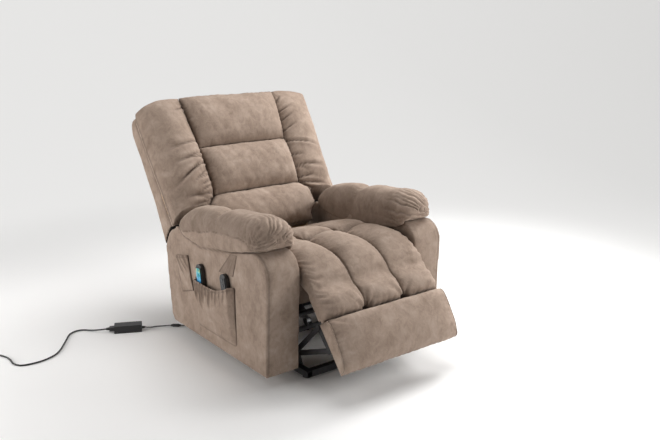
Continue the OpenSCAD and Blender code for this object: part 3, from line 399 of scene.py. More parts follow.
def remesh(bm: BMesh, voxel: float) -> BMesh:
    """The same closed form in even faces of about that size; frees the mesh it is given."""
    mesh = bpy.data.meshes.new("form")
    bm.to_mesh(mesh)
    bm.free()
    body = put("form", mesh)
    tool = body.modifiers.new("even", "REMESH")
    tool.mode, tool.voxel_size = "VOXEL", voxel
    done = bpy.data.meshes.new_from_object(body.evaluated_get(bpy.context.evaluated_depsgraph_get()))
    out = bmesh.new()
    for layer in ("along", "across", "seam"):
        out.verts.layers.float.new(layer)
    out.from_mesh(done)
    bpy.data.objects.remove(body)
    bpy.data.meshes.remove(mesh)
    bpy.data.meshes.remove(done)
    return out


def emboss(bm: BMesh, relief: Relief, soften: int = 0) -> None:
    """Moves each point along its normal by the relief, and stores its painted shade or painted highlight in the seam
    layer.

    Args:
        bm: the mesh.
        relief: gives offset and painted shade (below 0, painted highlight) from the point, its normal and its place on
            the map.
        soften: rounds of smoothing before the relief.
    """
    for _ in range(soften):
        bmesh.ops.smooth_vert(bm, verts=bm.verts[:], factor=0.5, use_axis_x=True, use_axis_y=True, use_axis_z=True)
    bm.normal_update()
    layers = bm.verts.layers.float
    along, across, dark = layers["along"], layers["across"], layers["seam"]
    moves = [(v, relief(v.co, v.normal, v[along], v[across])) for v in bm.verts]
    for v, (offset, k) in moves:
        v.co += v.normal * offset
        # Painted shade is kept within -1 to 1; a value above 1.5 asks for the near-black painted shadow of a gap.
        v[dark] = k if k > 1.5 else min(1.0, max(-1.0, k))


# ------------------------------------------------------------------ shader maths
class Value:
    """A shader value that takes part in plain arithmetic."""

    def __init__(self, tree: "Tree", socket: bpy.types.NodeSocket) -> None:
        """Keeps the socket and the tree that it is in."""
        self.tree, self.socket = tree, socket

    def _do(self, operation: str, a: "Value | float", b: "Value | float") -> "Value":
        """One Math node on two values."""
        return self.tree.node("ShaderNodeMath", {"operation": operation}, {0: a, 1: b})

    def __add__(self, other: "Value | float") -> "Value":
        """The sum."""
        return self._do("ADD", self, other)

    __radd__ = __add__

    def __sub__(self, other: "Value | float") -> "Value":
        """The difference."""
        return self._do("SUBTRACT", self, other)

    def __rsub__(self, other: "Value | float") -> "Value":
        """The difference the other way round."""
        return self._do("SUBTRACT", other, self)

    def __mul__(self, other: "Value | float") -> "Value":
        """The product."""
        return self._do("MULTIPLY", self, other)

    __rmul__ = __mul__


class Tree:
    """The nodes of one material."""

    def __init__(self, name: str) -> None:
        """Starts a material with its main shader alone."""
        self.material = bpy.data.materials.new(name)
        self.material.use_nodes = True
        self.nodes, self.links = self.material.node_tree.nodes, self.material.node_tree.links
        self.shader = self.nodes["Principled BSDF"]
        self.place = self.node("ShaderNodeTexCoord", {}, {}, "Object")

    def node(self, kind: str, settings: dict, inputs: dict, out: int | str = 0) -> Value:
        """A node with its settings, then the values or links of its sockets.

        Args:
            kind: the node's type.
            settings: its settings; "stops" are the stops of a ramp.
            inputs: a value or a link for each socket, by name or number.
            out: the output that comes back.

        Returns:
            That output as a value.
        """
        made = self.nodes.new(kind)
        for key, value in settings.items():
            if key == "stops":
                ramp = made.color_ramp
                while len(ramp.elements) < len(value):
                    ramp.elements.new(0.5)
                for element, (where, colour) in zip(ramp.elements, value):
                    element.position, element.color = where, (*colour, 1)
            else:
                setattr(made, key, value)
        for key, value in inputs.items():
            if isinstance(value, Value):
                self.links.new(value.socket, made.inputs[key])
            else:
                made.inputs[key].default_value = value
        return Value(self, made.outputs[out])

    def grain(self, size: float, detail: float = 3, rough: float = 0.5, warp: float = 0.0,
              stretch: Point = (1, 1, 1)) -> Value:
        """Noise with features of that size in millimetres, stretched along the axes."""
        place = self.place
        if stretch != (1, 1, 1):
            place = self.node("ShaderNodeMapping", {}, {"Vector": place, "Scale": stretch}, "Vector")
        return self.node("ShaderNodeTexNoise", {}, {"Vector": place, "Scale": 1000 / size, "Detail": detail,
                                                   "Roughness": rough, "Distortion": warp}, 0)

    def above(self, value: Value) -> Value:
        """The value, or 0 where it is less."""
        return self.node("ShaderNodeMath", {"operation": "MAXIMUM"}, {0: value, 1: 0.0})

    def ramp(self, value: Value, stops: Sequence[tuple[float, Colour]]) -> Value:
        """A colour ramp over a value."""
        return self.node("ShaderNodeValToRGB", {"stops": stops}, {0: value}, "Color")

    def blend(self, share: Value | float, a: Value | Colour, b: Value | Colour) -> Value:
        """A mix of two colours."""
        return self.node("ShaderNodeMix", {"data_type": "RGBA"}, {
            0: share, 6: a if isinstance(a, Value) else (*a, 1), 7: b if isinstance(b, Value) else (*b, 1)}, 2)

    def bump(self, height: Value, strength: float, depth: float) -> Value:
        """A bump of that depth in millimetres."""
        return self.node("ShaderNodeBump", {}, {"Strength": strength, "Distance": depth / 1000, "Height": height},
                         "Normal")

    def dress(self, **sockets: Value | float | Colour) -> bpy.types.Material:
        """Sets or links the shader's sockets, with their names' spaces as underscores.

        Returns:
            The material.
        """
        for key, value in sockets.items():
            socket = self.shader.inputs[key.replace("_", " ")]
            if isinstance(value, Value):
                self.links.new(value.socket, socket)
            elif isinstance(value, tuple) and len(socket.default_value) == 4:
                socket.default_value = (*value, 1)
            else:
                socket.default_value = value
        return self.material


# ------------------------------------------------------------------ finishes
@dataclass(frozen=True)
class Suede:
    """Brushed microfibre whose nap lies lighter and darker in soft patches, with painted shade and painted highlight
    from each piece's seam layer.
    """

    name: str = "brushed_suede"
    dark: Colour = (0.200, 0.145, 0.110)
    mid: Colour = (0.305, 0.230, 0.182)
    light: Colour = (0.410, 0.323, 0.264)
    # Painted shade colour for seams, folds and shaded sides, then the near-black painted shadow for gaps.
    painted_shade: Colour = (0.055, 0.036, 0.026)
    painted_gap_shadow: Colour = (0.004, 0.004, 0.0045)

    def make(self) -> bpy.types.Material:
        """Builds the material."""
        t = Tree(self.name)
        cloud = t.grain(85, 3, 0.55, 0.4)
        patch = t.grain(24, 5, 0.62, 0.9, (1, 1, 0.7))
        fibre = t.grain(1.6, 2, 0.6)
        # In the suede this value is only the random mottle of the nap; no shade is painted here.
        mottle_and_side_shade = cloud * 0.42 + patch * 0.36 + fibre * 0.22
        colour = t.ramp(mottle_and_side_shade, [(0.33, self.dark), (0.5, self.mid), (0.67, self.light)])
        # The seam layer paints shade towards the painted shade colour, painted highlight towards the light tone and
        # near-black painted shadow into gaps.
        line = t.node("ShaderNodeAttribute", {"attribute_name": "seam"}, {}, "Fac")
        colour = t.blend(t.above(line) * 0.72, colour, self.painted_shade)
        colour = t.blend(t.above(line * -1.0) * 0.6, colour, self.light)
        colour = t.blend(t.above(line - 1.0), colour, self.painted_gap_shadow)
        rough = 0.98 - patch * 0.12
        height = fibre * 0.5 + t.grain(7, 4, 0.6) * 0.5
        return t.dress(Base_Color=colour, Roughness=rough, Specular_IOR_Level=0.22, Sheen_Weight=0.15,
                       Sheen_Roughness=0.45, Sheen_Tint=(1.0, 0.86, 0.74), Normal=t.bump(height, 0.5, 0.7))


@dataclass(frozen=True)
class Paint:
    """Black powder coat on steel, with soft patches of dust."""

    name: str = "black_paint"
    base: Colour = (0.007, 0.007, 0.008)
    worn: Colour = (0.026, 0.026, 0.028)
    rough: float = 0.42

    def make(self) -> bpy.types.Material:
        """Builds the material."""
        t = Tree(self.name)
        dust = t.grain(38, 5, 0.65, 0.5)
        pores = t.grain(1.1, 2, 0.5)
        colour = t.ramp(dust, [(0.4, self.base), (0.72, self.worn)])
        return t.dress(Base_Color=colour, Roughness=self.rough + dust * 0.25, Metallic=0.0,
                       Normal=t.bump(pores, 0.35, 0.25))


@dataclass(frozen=True)
class Metal:
    """Ground steel with a fine grain along the chair."""

    name: str = "ground_steel"
    base: Colour = (0.50, 0.51, 0.53)
    rough: float = 0.26

    def make(self) -> bpy.types.Material:
        """Builds the material."""
        t = Tree(self.name)
        lines = t.grain(2.0, 3, 0.6, 0, (0.2, 6, 6))
        stain = t.grain(30, 4, 0.6)
        colour = t.ramp(stain, [(0.3, tuple(c * 0.75 for c in self.base)), (0.7, self.base)])
        return t.dress(Base_Color=colour, Roughness=self.rough + lines * 0.2, Metallic=1.0,
                       Normal=t.bump(lines, 0.2, 0.1))


@dataclass(frozen=True)
class Timber:
    """Sawn softwood with long grain across the chair."""

    name: str = "sawn_timber"
    pale: Colour = (0.56, 0.38, 0.20)
    dark: Colour = (0.34, 0.20, 0.09)

    def make(self) -> bpy.types.Material:
        """Builds the material."""
        t = Tree(self.name)
        bands = t.grain(9, 6, 0.6, 1.2, (0.12, 1, 1))
        knots = t.grain(60, 3, 0.5, 2.0, (0.5, 1, 1))
        colour = t.ramp(bands * 0.75 + knots * 0.25, [(0.38, self.dark), (0.6, self.pale)])
        return t.dress(Base_Color=colour, Roughness=0.62 + bands * 0.2, Normal=t.bump(bands, 0.4, 0.4))


@dataclass(frozen=True)
class Plastic:
    """Moulded plastic with a fine spark-eroded texture."""

    name: str
    base: Colour = (0.016, 0.016, 0.018)
    rough: float = 0.45
    grain: float = 0.9
    coat: float = 0.0

    def make(self) -> bpy.types.Material:
        """Builds the material."""
        t = Tree(self.name)
        spark = t.grain(self.grain, 2, 0.5)
        wipe = t.grain(26, 4, 0.6, 0.6)
        colour = t.blend(wipe * 0.5, self.base, tuple(min(1.0, c * 1.5 + 0.006) for c in self.base))
        return t.dress(Base_Color=colour, Roughness=self.rough + wipe * 0.18, Coat_Weight=self.coat,
                       Normal=t.bump(spark, 0.4, 0.12))


@dataclass(frozen=True)
class Weave:
    """Close plain cloth or strap webbing, with threads both ways."""

    name: str
    base: Colour = (0.035, 0.033, 0.032)
    pitch: float = 1.6

    def make(self) -> bpy.types.Material:
        """Builds the material."""
        t = Tree(self.name)
        threads = [t.node("ShaderNodeTexWave", {"wave_type": "BANDS", "bands_direction": axis},
                          {"Vector": t.place, "Scale": 314 / self.pitch, "Distortion": 0.6, "Detail": 1.0}, 1)
                   for axis in ("X", "Y", "Z")]
        weave = threads[0] * 0.34 + threads[1] * 0.33 + threads[2] * 0.33
        wear = t.grain(45, 4, 0.6)
        colour = t.blend(weave * 0.5 + wear * 0.4, self.base, tuple(min(1.0, c * 2.0 + 0.01) for c in self.base))
        return t.dress(Base_Color=colour, Roughness=0.9, Sheen_Weight=0.1, Normal=t.bump(weave, 0.5, 0.5))


@dataclass(frozen=True)
class Screen:
    """The coloured face of the massage handset under clear plastic, with a faint painted glow."""

    name: str = "handset_face"

    def make(self) -> bpy.types.Material:
        """Builds the material."""
        t = Tree(self.name)
        split = t.node("ShaderNodeSeparateXYZ", {}, {0: t.place}, 2)
        height = (split - 0.295) * (1 / 0.07)
        mottle = t.grain(9, 2, 0.5, 1.0)
        colour = t.ramp(height * 0.8 + mottle * 0.2, [
            (0.05, (0.008, 0.10, 0.30)), (0.3, (0.015, 0.30, 0.52)), (0.55, (0.03, 0.42, 0.50)),
            (0.68, (0.30, 0.48, 0.12)), (0.78, (0.05, 0.38, 0.40)), (1.0, (0.02, 0.20, 0.30))])
        # The faint emission in the face's own colours is a painted glow; the face holds no lamp.
        return t.dress(Base_Color=colour, Roughness=0.25 + mottle * 0.1, Coat_Weight=0.6, Emission_Color=colour,
                       Emission_Strength=0.12)


# ------------------------------------------------------------------ the chair's side view
KNEE, HINGE, SEAM, FOOT = (-62.0, 473.0), (611.0, 322.0), (705.0, 571.0), (-108.0, 263.0)
HINGE_R, PAD_REAR = 164.0, -59.6
LEAN, FOOT_LEAN = math.radians(32.3), math.radians(51.0)
SEAT_Z, SEAT_X, CHANNEL_X, SIDE, INNER = 408.0, 280.0, 95.0, 430.0, 285.0
BOARD, ROLL_H = 15.0, 82.0


def back_at(u: float, v: float) -> Pair:
    """The [y, z] point a height u up the back and a distance v out of it."""
    return SEAM[0] + u * math.sin(LEAN) - v * math.cos(LEAN), SEAM[1] + u * math.cos(LEAN) + v * math.sin(LEAN)


def on_back(p: Vector) -> Pair:
    """The height up the back and the distance out of it of a point."""
    y, z = p.y - SEAM[0], p.z - SEAM[1]
    return y * math.sin(LEAN) + z * math.cos(LEAN), z * math.sin(LEAN) - y * math.cos(LEAN)


def foot_at(s: float, h: float) -> Pair:
    """The [y, z] point a length s down the footrest board and a height h off its rear face."""
    return (FOOT[0] - s * math.cos(FOOT_LEAN) - h * math.sin(FOOT_LEAN),
            FOOT[1] - s * math.sin(FOOT_LEAN) + h * math.cos(FOOT_LEAN))


def on_foot(p: Vector) -> Pair:
    """The length down the footrest board and the height off its rear face of a point."""
    y, z = p.y - FOOT[0], p.z - FOOT[1]
    return (-y * math.cos(FOOT_LEAN) - z * math.sin(FOOT_LEAN), -y * math.sin(FOOT_LEAN) + z * math.cos(FOOT_LEAN))


def knee_at(r: float, degrees: float) -> Pair:
    """The [y, z] point at a radius and angle round the footrest's swing."""
    p = polar(r, degrees)
    return KNEE[0] + p[0], KNEE[1] + p[1]


class Workshop:
    """Finishes shared by all sub-assemblies, and the last steps of each piece."""

    def __init__(self) -> None:
        """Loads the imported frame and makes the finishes."""
        self.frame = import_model()
        self.cad_box = [[float(x) for x in corner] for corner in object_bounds()]
        self.suede = Suede().make()
        self.finish = {
            "cushion_cloth": self.suede, "body_cloth": self.suede, "cloth_on_board": self.suede,
            # The dust cloth under the seat takes the suede in darker tones: a shaded copy that paints the shade under
            # the seat.
            "dust_cloth": Suede("front_cloth_shaded", (0.15, 0.108, 0.083), (0.215, 0.162, 0.128), (0.28, 0.22, 0.18)).make(),
            "strap_webbing": Weave("strap_webbing").make(), "black_steel": Paint().make(),
            "link_steel": Paint("link_paint", (0.007, 0.007, 0.008), (0.028, 0.028, 0.03), 0.4).make(),
            "rod_steel": Metal().make(), "timber": Timber().make(),
            "drive_plastic": Plastic("drive_plastic").make(),
            "slider_plastic": Plastic("slider_plastic", (0.62, 0.61, 0.58), 0.5).make(),
            "glide_plastic": Plastic("glide_plastic", (0.03, 0.03, 0.031), 0.6).make(),
            "handset_plastic": Plastic("handset_plastic", (0.010, 0.010, 0.011), 0.3, 0.6, 0.25).make(),
            "key_teal": Plastic("key_teal", (0.02, 0.24, 0.30), 0.35).make(),
            "key_grey": Plastic("key_grey", (0.045, 0.047, 0.05), 0.4).make(),
            "adapter_plastic": Plastic("adapter_plastic", (0.012, 0.012, 0.013), 0.42, 1.2).make(),
            "lead_rubber": Plastic("lead_rubber", (0.014, 0.014, 0.015), 0.5, 0.8).make(),
        }

    def piece(self, bm: BMesh, name: str, body: str | None, slot: str, replaces: Sequence[str] = (),
              finish: bpy.types.Material | None = None,
              wall: float = 0.0) -> bpy.types.Object:
        """Turns a shaped mesh into a dressed piece in its place.

        Args:
            bm: the mesh in millimetres; it is freed.
            name: the piece's name.
            body: the body it rides on, or None where it bends between two.
            slot: the record's slot for its finish.
            replaces: the nodes that it stands for.
            finish: its material, where it isn't the slot's own.
            wall: the thickness that an open sheet gets, in millimetres.

        Returns:
            The object.
        """
        bmesh.ops.transform(bm, matrix=TO_METRES, verts=bm.verts[:])
        for layer in ("along", "across"):
            if layer in bm.verts.layers.float:
                bm.verts.layers.float.remove(bm.verts.layers.float[layer])
        obj = settle(bm, name, finish or self.finish[slot])
        if wall:
            tool = obj.modifiers.new("wall", "SOLIDIFY")
            tool.thickness, tool.offset = wall / 1000, -1
        if body:
            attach(obj, body)
        if replaces:
            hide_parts(*replaces)
        LOG.info("%s: %d faces", name, len(obj.data.polygons))
        return obj


# ------------------------------------------------------------------ cords
@dataclass
class PowerLeads:
    """The mains lead with its coiled spare length, the adapter's lead and the tail from the base."""

    lead_r: float = 3.25
    dc_r: float = 2.25
    adapter: Pair = (-599.0, 830.0)
    turn: float = -26.1
    coil: Pair = (-1192.0, 1010.0)
    coil_r: float = 46.0
    turns: float = 1.5
    coil_from: float = -20.0

    def at_adapter(self, x: float, y: float, z: float) -> Vector:
        """A point of the adapter's own frame."""
        c, s = math.cos(math.radians(self.turn)), math.sin(math.radians(self.turn))
        return Vector((self.adapter[0] + x * c - y * s, self.adapter[1] + x * s + y * c, z))

    def along_adapter(self) -> Vector:
        """The direction from the adapter towards its mains end."""
        return self.at_adapter(-1, 0, 0) - self.at_adapter(0, 0, 0)

    @staticmethod
    def route(points: Sequence[Sequence[float]], pitch: float) -> list[Vector]:
        """Points a pitch apart along the smooth curve through a lead's points."""
        out, n = [], len(points)
        for i in range(n - 1):
            m = max(1, round(math.dist(points[i], points[i + 1]) / pitch))
            out += [Vector(bend(points[max(0, i - 1)], points[i], points[i + 1], points[min(n - 1, i + 2)], k / m))
                    for k in range(m)]
        return out + [Vector(points[-1])]

    def mains_path(self) -> list[Vector]:
        """The mains lead's route, its coil included."""
        rest = self.lead_r + 0.3
        start, ahead = self.at_adapter(-92, 0, 16), self.along_adapter()
        a0 = math.radians(self.coil_from)
        inward = Vector((math.sin(a0), -math.cos(a0), 0))
        first = Vector((self.coil[0] + self.coil_r * math.cos(a0), self.coil[1] + self.coil_r * math.sin(a0), rest))
        plan = [(-716, 902, 9), (-736, 930, 4.5), (-752, 950, rest), (-780, 958, rest), (-815, 942, rest),
                (-845, 898, rest), (-876, 849, rest), (-905, 806, rest), (-942, 768, rest), (-995, 746, rest),
                (-1045, 744, rest), (-1082, 756, rest), (-1098, 792, rest), (-1096, 830, rest), (-1102, 870, rest),
                (-1118, 905, rest)]
        points = [start, start + 14 * ahead + Vector((0, 0, -1)), *plan, first + inward * 22,
                  first + inward * 2 * self.lead_r]
        path = self.route(points, 16)
        half = self.turns + 0.25
        for k in range(round((2 * self.turns + 0.5) * 24) + 1):
            t = k / 24
            r = self.coil_r - (2 * self.lead_r + 1.1) * (t if t < half else 2 * half - t)
            climb = (2 * self.lead_r + 1.3) * min(1.0, max(0.0, (t - half + 0.25) / 0.5))
            p = polar(r, self.coil_from + 360 * t)
            path.append(Vector((self.coil[0] + p[0], self.coil[1] + p[1], rest + climb)))
        out = (path[-1] - path[-2]).normalized()
        return path + [path[-1] + out * 2 * self.lead_r]

    def lay(self, shop: Workshop, name: str, path: Sequence[Vector], radius: float, nodes: Sequence[str]) -> None:
        """Makes one cord along its route, from where it leaves to its far end.

        Args:
            shop: the workshop.
            name: the piece's name.
            path: the route in millimetres.
            radius: the cord's radius.
            nodes: the nodes that it stands for.
        """
        curve = bpy.data.curves.new(name, "CURVE")
        curve.dimensions, curve.bevel_depth, curve.bevel_resolution, curve.use_fill_caps = "3D", radius / 1000, 4, True
        points = [at(*p) for p in path]
        line = curve.splines.new("POLY")
        line.points.add(len(points) - 1)
        for spot, p in zip(line.points, points):
            spot.co = (*p, 1)
        line.use_smooth = True
        cord = put(name, curve)
        curve.materials.append(shop.finish["lead_rubber"])
        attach(cord, "base")
        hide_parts(*nodes)
        length = sum((q - p).length for p, q in zip(points, points[1:]))
        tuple(points[0])
        LOG.info("%s: %.3f m", name, length)

    def build(self, shop: Workshop) -> None:
        """Lays the three leads."""
        into, out = Vector((-432, 759, 7)), Vector((-397, 732, 7))
        way = (out - into).normalized()
        end = Vector((-272.0, 565, 18.5))
        end.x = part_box("cord_gland")[0].x * 1000
        rest = self.dc_r + 0.3
        tail = self.route([out, out + 10 * way + Vector((0, 0, -1)), (-362, 708, 4.5), (-340, 676, rest),
                           (-326, 640, rest), (-316, 600, rest), (-306, 574, 9), end + Vector((-14, 2, -1)), end], 12)
        self.lay(shop, "base_tail_cord", tail[::-1], self.dc_r, ["dc_tail"])
        start = self.at_adapter(72, 0, 12)
        lead = self.route([start, start - 10 * self.along_adapter() + Vector((0, 0, -2)), (-506, 799, 4),
                           (-483, 797, rest), (-458, 779, 4.5), into - 8 * way, into], 10)
        self.lay(shop, "adapter_cord", lead[::-1], self.dc_r, ["dc_lead"])
        self.lay(shop, "mains_cord", self.mains_path(), self.lead_r, ["mains_lead", "mains_coil"])


# ------------------------------------------------------------------ seat and footrest
@dataclass
class Chaise:
    """The channelled seat that runs on over its nose into the leg pad, as one padded piece."""

    crown: float = 46.0
    leg_crown: float = 36.0
    leg_h: float = 52.0
    cross_y: float = 230.0
    cross_depth: float = 38.0
    pitch: float = 6.0
    seat_line: Table = (
        (-80, -34, 0.2), (-52, -3, 0.42), (-8, 24, 0.7), (35, 34, 0.9), (75, 37, 1), (130, 38, 1), (200, 40, 0.96),
        (280, 40, 0.84), (390, 25, 0.62), (470, 9, 0.42), (526, -5, 0.28))

    @staticmethod
    def lobe(x: float) -> float:
        """Height of the three sewn channels, 0 at the sides and 1 on a crest."""
        a, c, h = abs(x), (CHANNEL_X + SEAT_X) / 2, (SEAT_X - CHANNEL_X) / 2
        if a < CHANNEL_X:
            return 0.04 + 0.96 * max(0.0, 1 - (a / CHANNEL_X) ** 2.05) ** 0.55
        u = min(1.0, abs(a - c) / h)
        if a < c:
            return 0.04 + 0.92 * max(0.0, 1 - u ** 2.05) ** 0.55
        return 0.96 * max(0.0, 1 - u ** 2.4) ** 0.5

    def ring(self, x: float) -> list[Pair]:
        """The closed side line of the pad at x, from the roll's seam up over the nose to the rear."""
        f, w = self.lobe(x), abs(x) / SEAT_X
        draw = 3 * w ** 8
        g, k = self.leg_crown * f, self.leg_h - 10 * w ** 10
        upper = [(p[0], SEAT_Z + p[1] + self.crown * p[2] * f - draw) for p in self.seat_line]
        leg = [foot_at(*p) for p in ((17, 18), (17, k * 0.66), (10, k + g * 0.55), (-8, k + 6 + g * 0.92),
                                     (-35, k + 6 + g), (-60, k + 4 + g * 0.85), (-80, k + g * 0.5))]
        under = [(536, 409), (536, 408.3), (300, 408.3), (62, 408.3), (62, 408.3), (40, 404),
                 *(knee_at(*p) for p in ((116, -52), (118, -70), (124, -84))),
                 *(foot_at(*p) for p in ((-85, 3), (-40, 3), (-1, 4), (-1, BOARD + 1), (-1, BOARD + 1),
                                         (17, BOARD + 1), (17, BOARD + 1)))]
        return leg + upper + [(541 - 5 * w, 409 + 8 * f)] + under

    def relief(self, p: Vector, n: Vector, s: float, x: float) -> Pair:
        """Seams, puckers and slackness of the pad, with painted shade in and beside its seams and valleys and painted
        highlight on the ridges of the puckers.
        """
        a = abs(x)
        down, off = on_foot(p)
        upper = n.z > 0.05 or n.y < -0.3
        edge = step(232, 274, a)
        d = 1.6 * lumps(p, 60, 3) + 0.9 * lumps(p, 24, 8)
        k = 0.0
        if not upper:
            return 0.4 * d, 0.0
        channel = abs(a - CHANNEL_X)
        fall, dark = seam(channel, 3.5, 4.0)
        # Painted shade in the channel seams and, more faintly, over the flanks beside them.
        d, k = d + fall, max(0.8 * dark, 0.34 * fade(channel, 13))
        d += 1.6 * gather(s + 0.3 * x, 23, 31 + (x > 0)) * bell(channel - 14, 13)
        if p.y > 40:
            y = p.y - self.cross_y - 16 * (0.5 - 0.5 * math.cos(2 * math.pi * (a + CHANNEL_X) / (2 * CHANNEL_X))) + 2
            cross = fade(y, 23)
            star = fan(p.y, a, (self.cross_y, CHANNEL_X), 10, 50, 5 if x > 0 else 9)
            d -= self.cross_depth * cross * step(285, 262, a)
            # Painted shade in the cross valley and painted highlight on the ridges of the star of puckers.
            k = max(k, 0.9 * bell(y, 7) * step(282, 262, a), 0.45 * fade(y, 18)) - 0.5 * star
            d += 9.0 * star
            d += 1.7 * gather(x, 24, 4) * fade(y, 22)
        if down > -120 and off > 20:
            d += 9.0 * fan(down, a, (17, CHANNEL_X), 9, 62, 2 if x > 0 else 6)
            d -= 13 * bell(math.hypot(down - 16, channel), 17)
            d += 2.2 * gather(x, 27, 7 + (x > 0)) * fade(max(0.0, 14 - down), 20)
            # Painted shade in the seam with the roll.
            k = max(k, 0.8 * bell(down - 15, 4))
        rim = edge * step(-30, 60, 330 - p.y)
        d += ((2.4 if x > 0 else 5.4) * gather(s, 25, 11 if x > 0 else 15) - 1.5) * rim
        d += 3.2 * gather(s + 0.4 * a, 38, 21) * step(175, 258, a) * step(150, -20, p.y)
        return d, k

    def build(self, shop: Workshop) -> None:
        """Makes the pad, which bends between the seat and the footrest."""
        n = round(2 * SEAT_X / self.pitch)
        stations = {round(-SEAT_X + 2 * SEAT_X * i / n, 2) for i in range(n + 1)}
        for edge in (-SEAT_X, -CHANNEL_X, CHANNEL_X, SEAT_X):
            stations |= {round(edge + o, 2) for o in (-9, -6, -3.5, -1.5, 0, 1.5, 3.5, 6, 9) if abs(edge + o) <= SEAT_X}
        rings = []
        for x in sorted(stations):
            line = smooth_line(self.ring(x), 230, closed=True)
            rings.append([(Vector((x * (1 - 5 * step(60, 20, y) / SEAT_X), y, z)), s, x) for y, z, s in paced(line)])
        bm = skin(rings)
        emboss(bm, self.relief, soften=1)
        pad = shop.piece(bm, "chaise_pad", None, "cushion_cloth", ["seat_cushion", "leg_pad"])
        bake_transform(pad, "seat", "footrest", start=at(0, 20, 430), end=at(0, -75, 360))


@dataclass
class FootRoll:
    """The rolled pad on the footrest board, with a sewn panel at each end."""

    half: float = 284.0
    drags: list[Crease] = field(default_factory=lambda: creases(
        (22, -276, 52, -206, 3.0, 6), (24, 278, 44, 236, 4.0, 6), (196, 276, 170, 236, 2.5, 7)))

    def ring(self, x: float) -> list[Pair]:
        """The closed side line of the roll at x."""
        w = min(1.0, abs(x) / self.half)
        h = ROLL_H * (1 - 0.30 * w ** 5)
        b = BOARD
        pts = [(17, b + 0.5), (17, b + 0.5), (17.2, b + h * 0.5), (21, b + h * 0.8), (34, b + h * 0.97),
               (60, b + h), (95, b + h * (0.99 - 0.05 * w ** 4)), (130, b + h * (0.95 - 0.09 * w ** 4)),
               (165, b + h * (0.84 - 0.1 * w ** 4)), (190, b + h * (0.66 - 0.1 * w ** 4)), (206, b + h * 0.42),
               (212, b + h * 0.16), (211, b + 0.5), (211, b + 0.5), (120, b + 0.5)]
        return [foot_at(s, q) for s, q in pts]

    def relief(self, p: Vector, n: Vector, s: float, x: float) -> Pair:
        """Seams with painted shade in them, the drag of the seam's stitches and slackness."""
        down, off = on_foot(p)
        a = abs(x)
        d = 1.7 * lumps(p, 90, 1) + 0.8 * lumps(p, 30, 5)
        if off < BOARD + 2:
            return 0.0, 0.0
        fall, dark = seam(a - 279, 3, 3)
        # Painted shade in the end seams.
        k = 0.6 * dark
        d += fall
        ends = step(225, 278, a) * (1 - step(279, 284, a))
        d += 2.6 * gather(down + 8 * lumps(p, 40, 2), 19, 3 if x > 0 else 8) * ends
        near = max(0.0, down - 16)
        d += 1.2 * gather(x, 33, 6) * fade(near, 16)
        d += 1.0 * gather(x, 30, 16) * fade(max(0.0, 206 - down), 14)
        d += fold(down, x, self.drags)[0]
        # Painted shade in the seam at the roll's foot, along the board.
        k = max(k, bell(down - 18, 3))
        return d, k

    def build(self, shop: Workshop) -> None:
        """Makes the roll."""
        n = 92
        xs = [-self.half + 2 * self.half * i / n for i in range(n + 1)]
        xs = sorted({round(x, 2) for x in xs} | {sign * (self.half - o) for sign in (-1, 1) for o in (1, 2.5, 4, 8)})
        rings = [[(Vector((x, y, z)), 0.0, x) for y, z in smooth_line(self.ring(x), 110, closed=True)] for x in xs]
        bm = skin(rings)
        ends = [e for e in bm.edges if abs(abs(e.verts[0].co.x) - self.half) < 0.1
                and abs(abs(e.verts[1].co.x) - self.half) < 0.1 and len(e.link_faces) == 2
                and any(abs(f.normal.x) < 0.5 for f in e.link_faces)]
        bmesh.ops.bevel(bm, geom=ends, offset=3, segments=3, profile=0.5, affect="EDGES", material=-1)
        emboss(bm, self.relief)
        shop.piece(bm, "foot_roll", "footrest", "cushion_cloth", ["footrest_roll"])


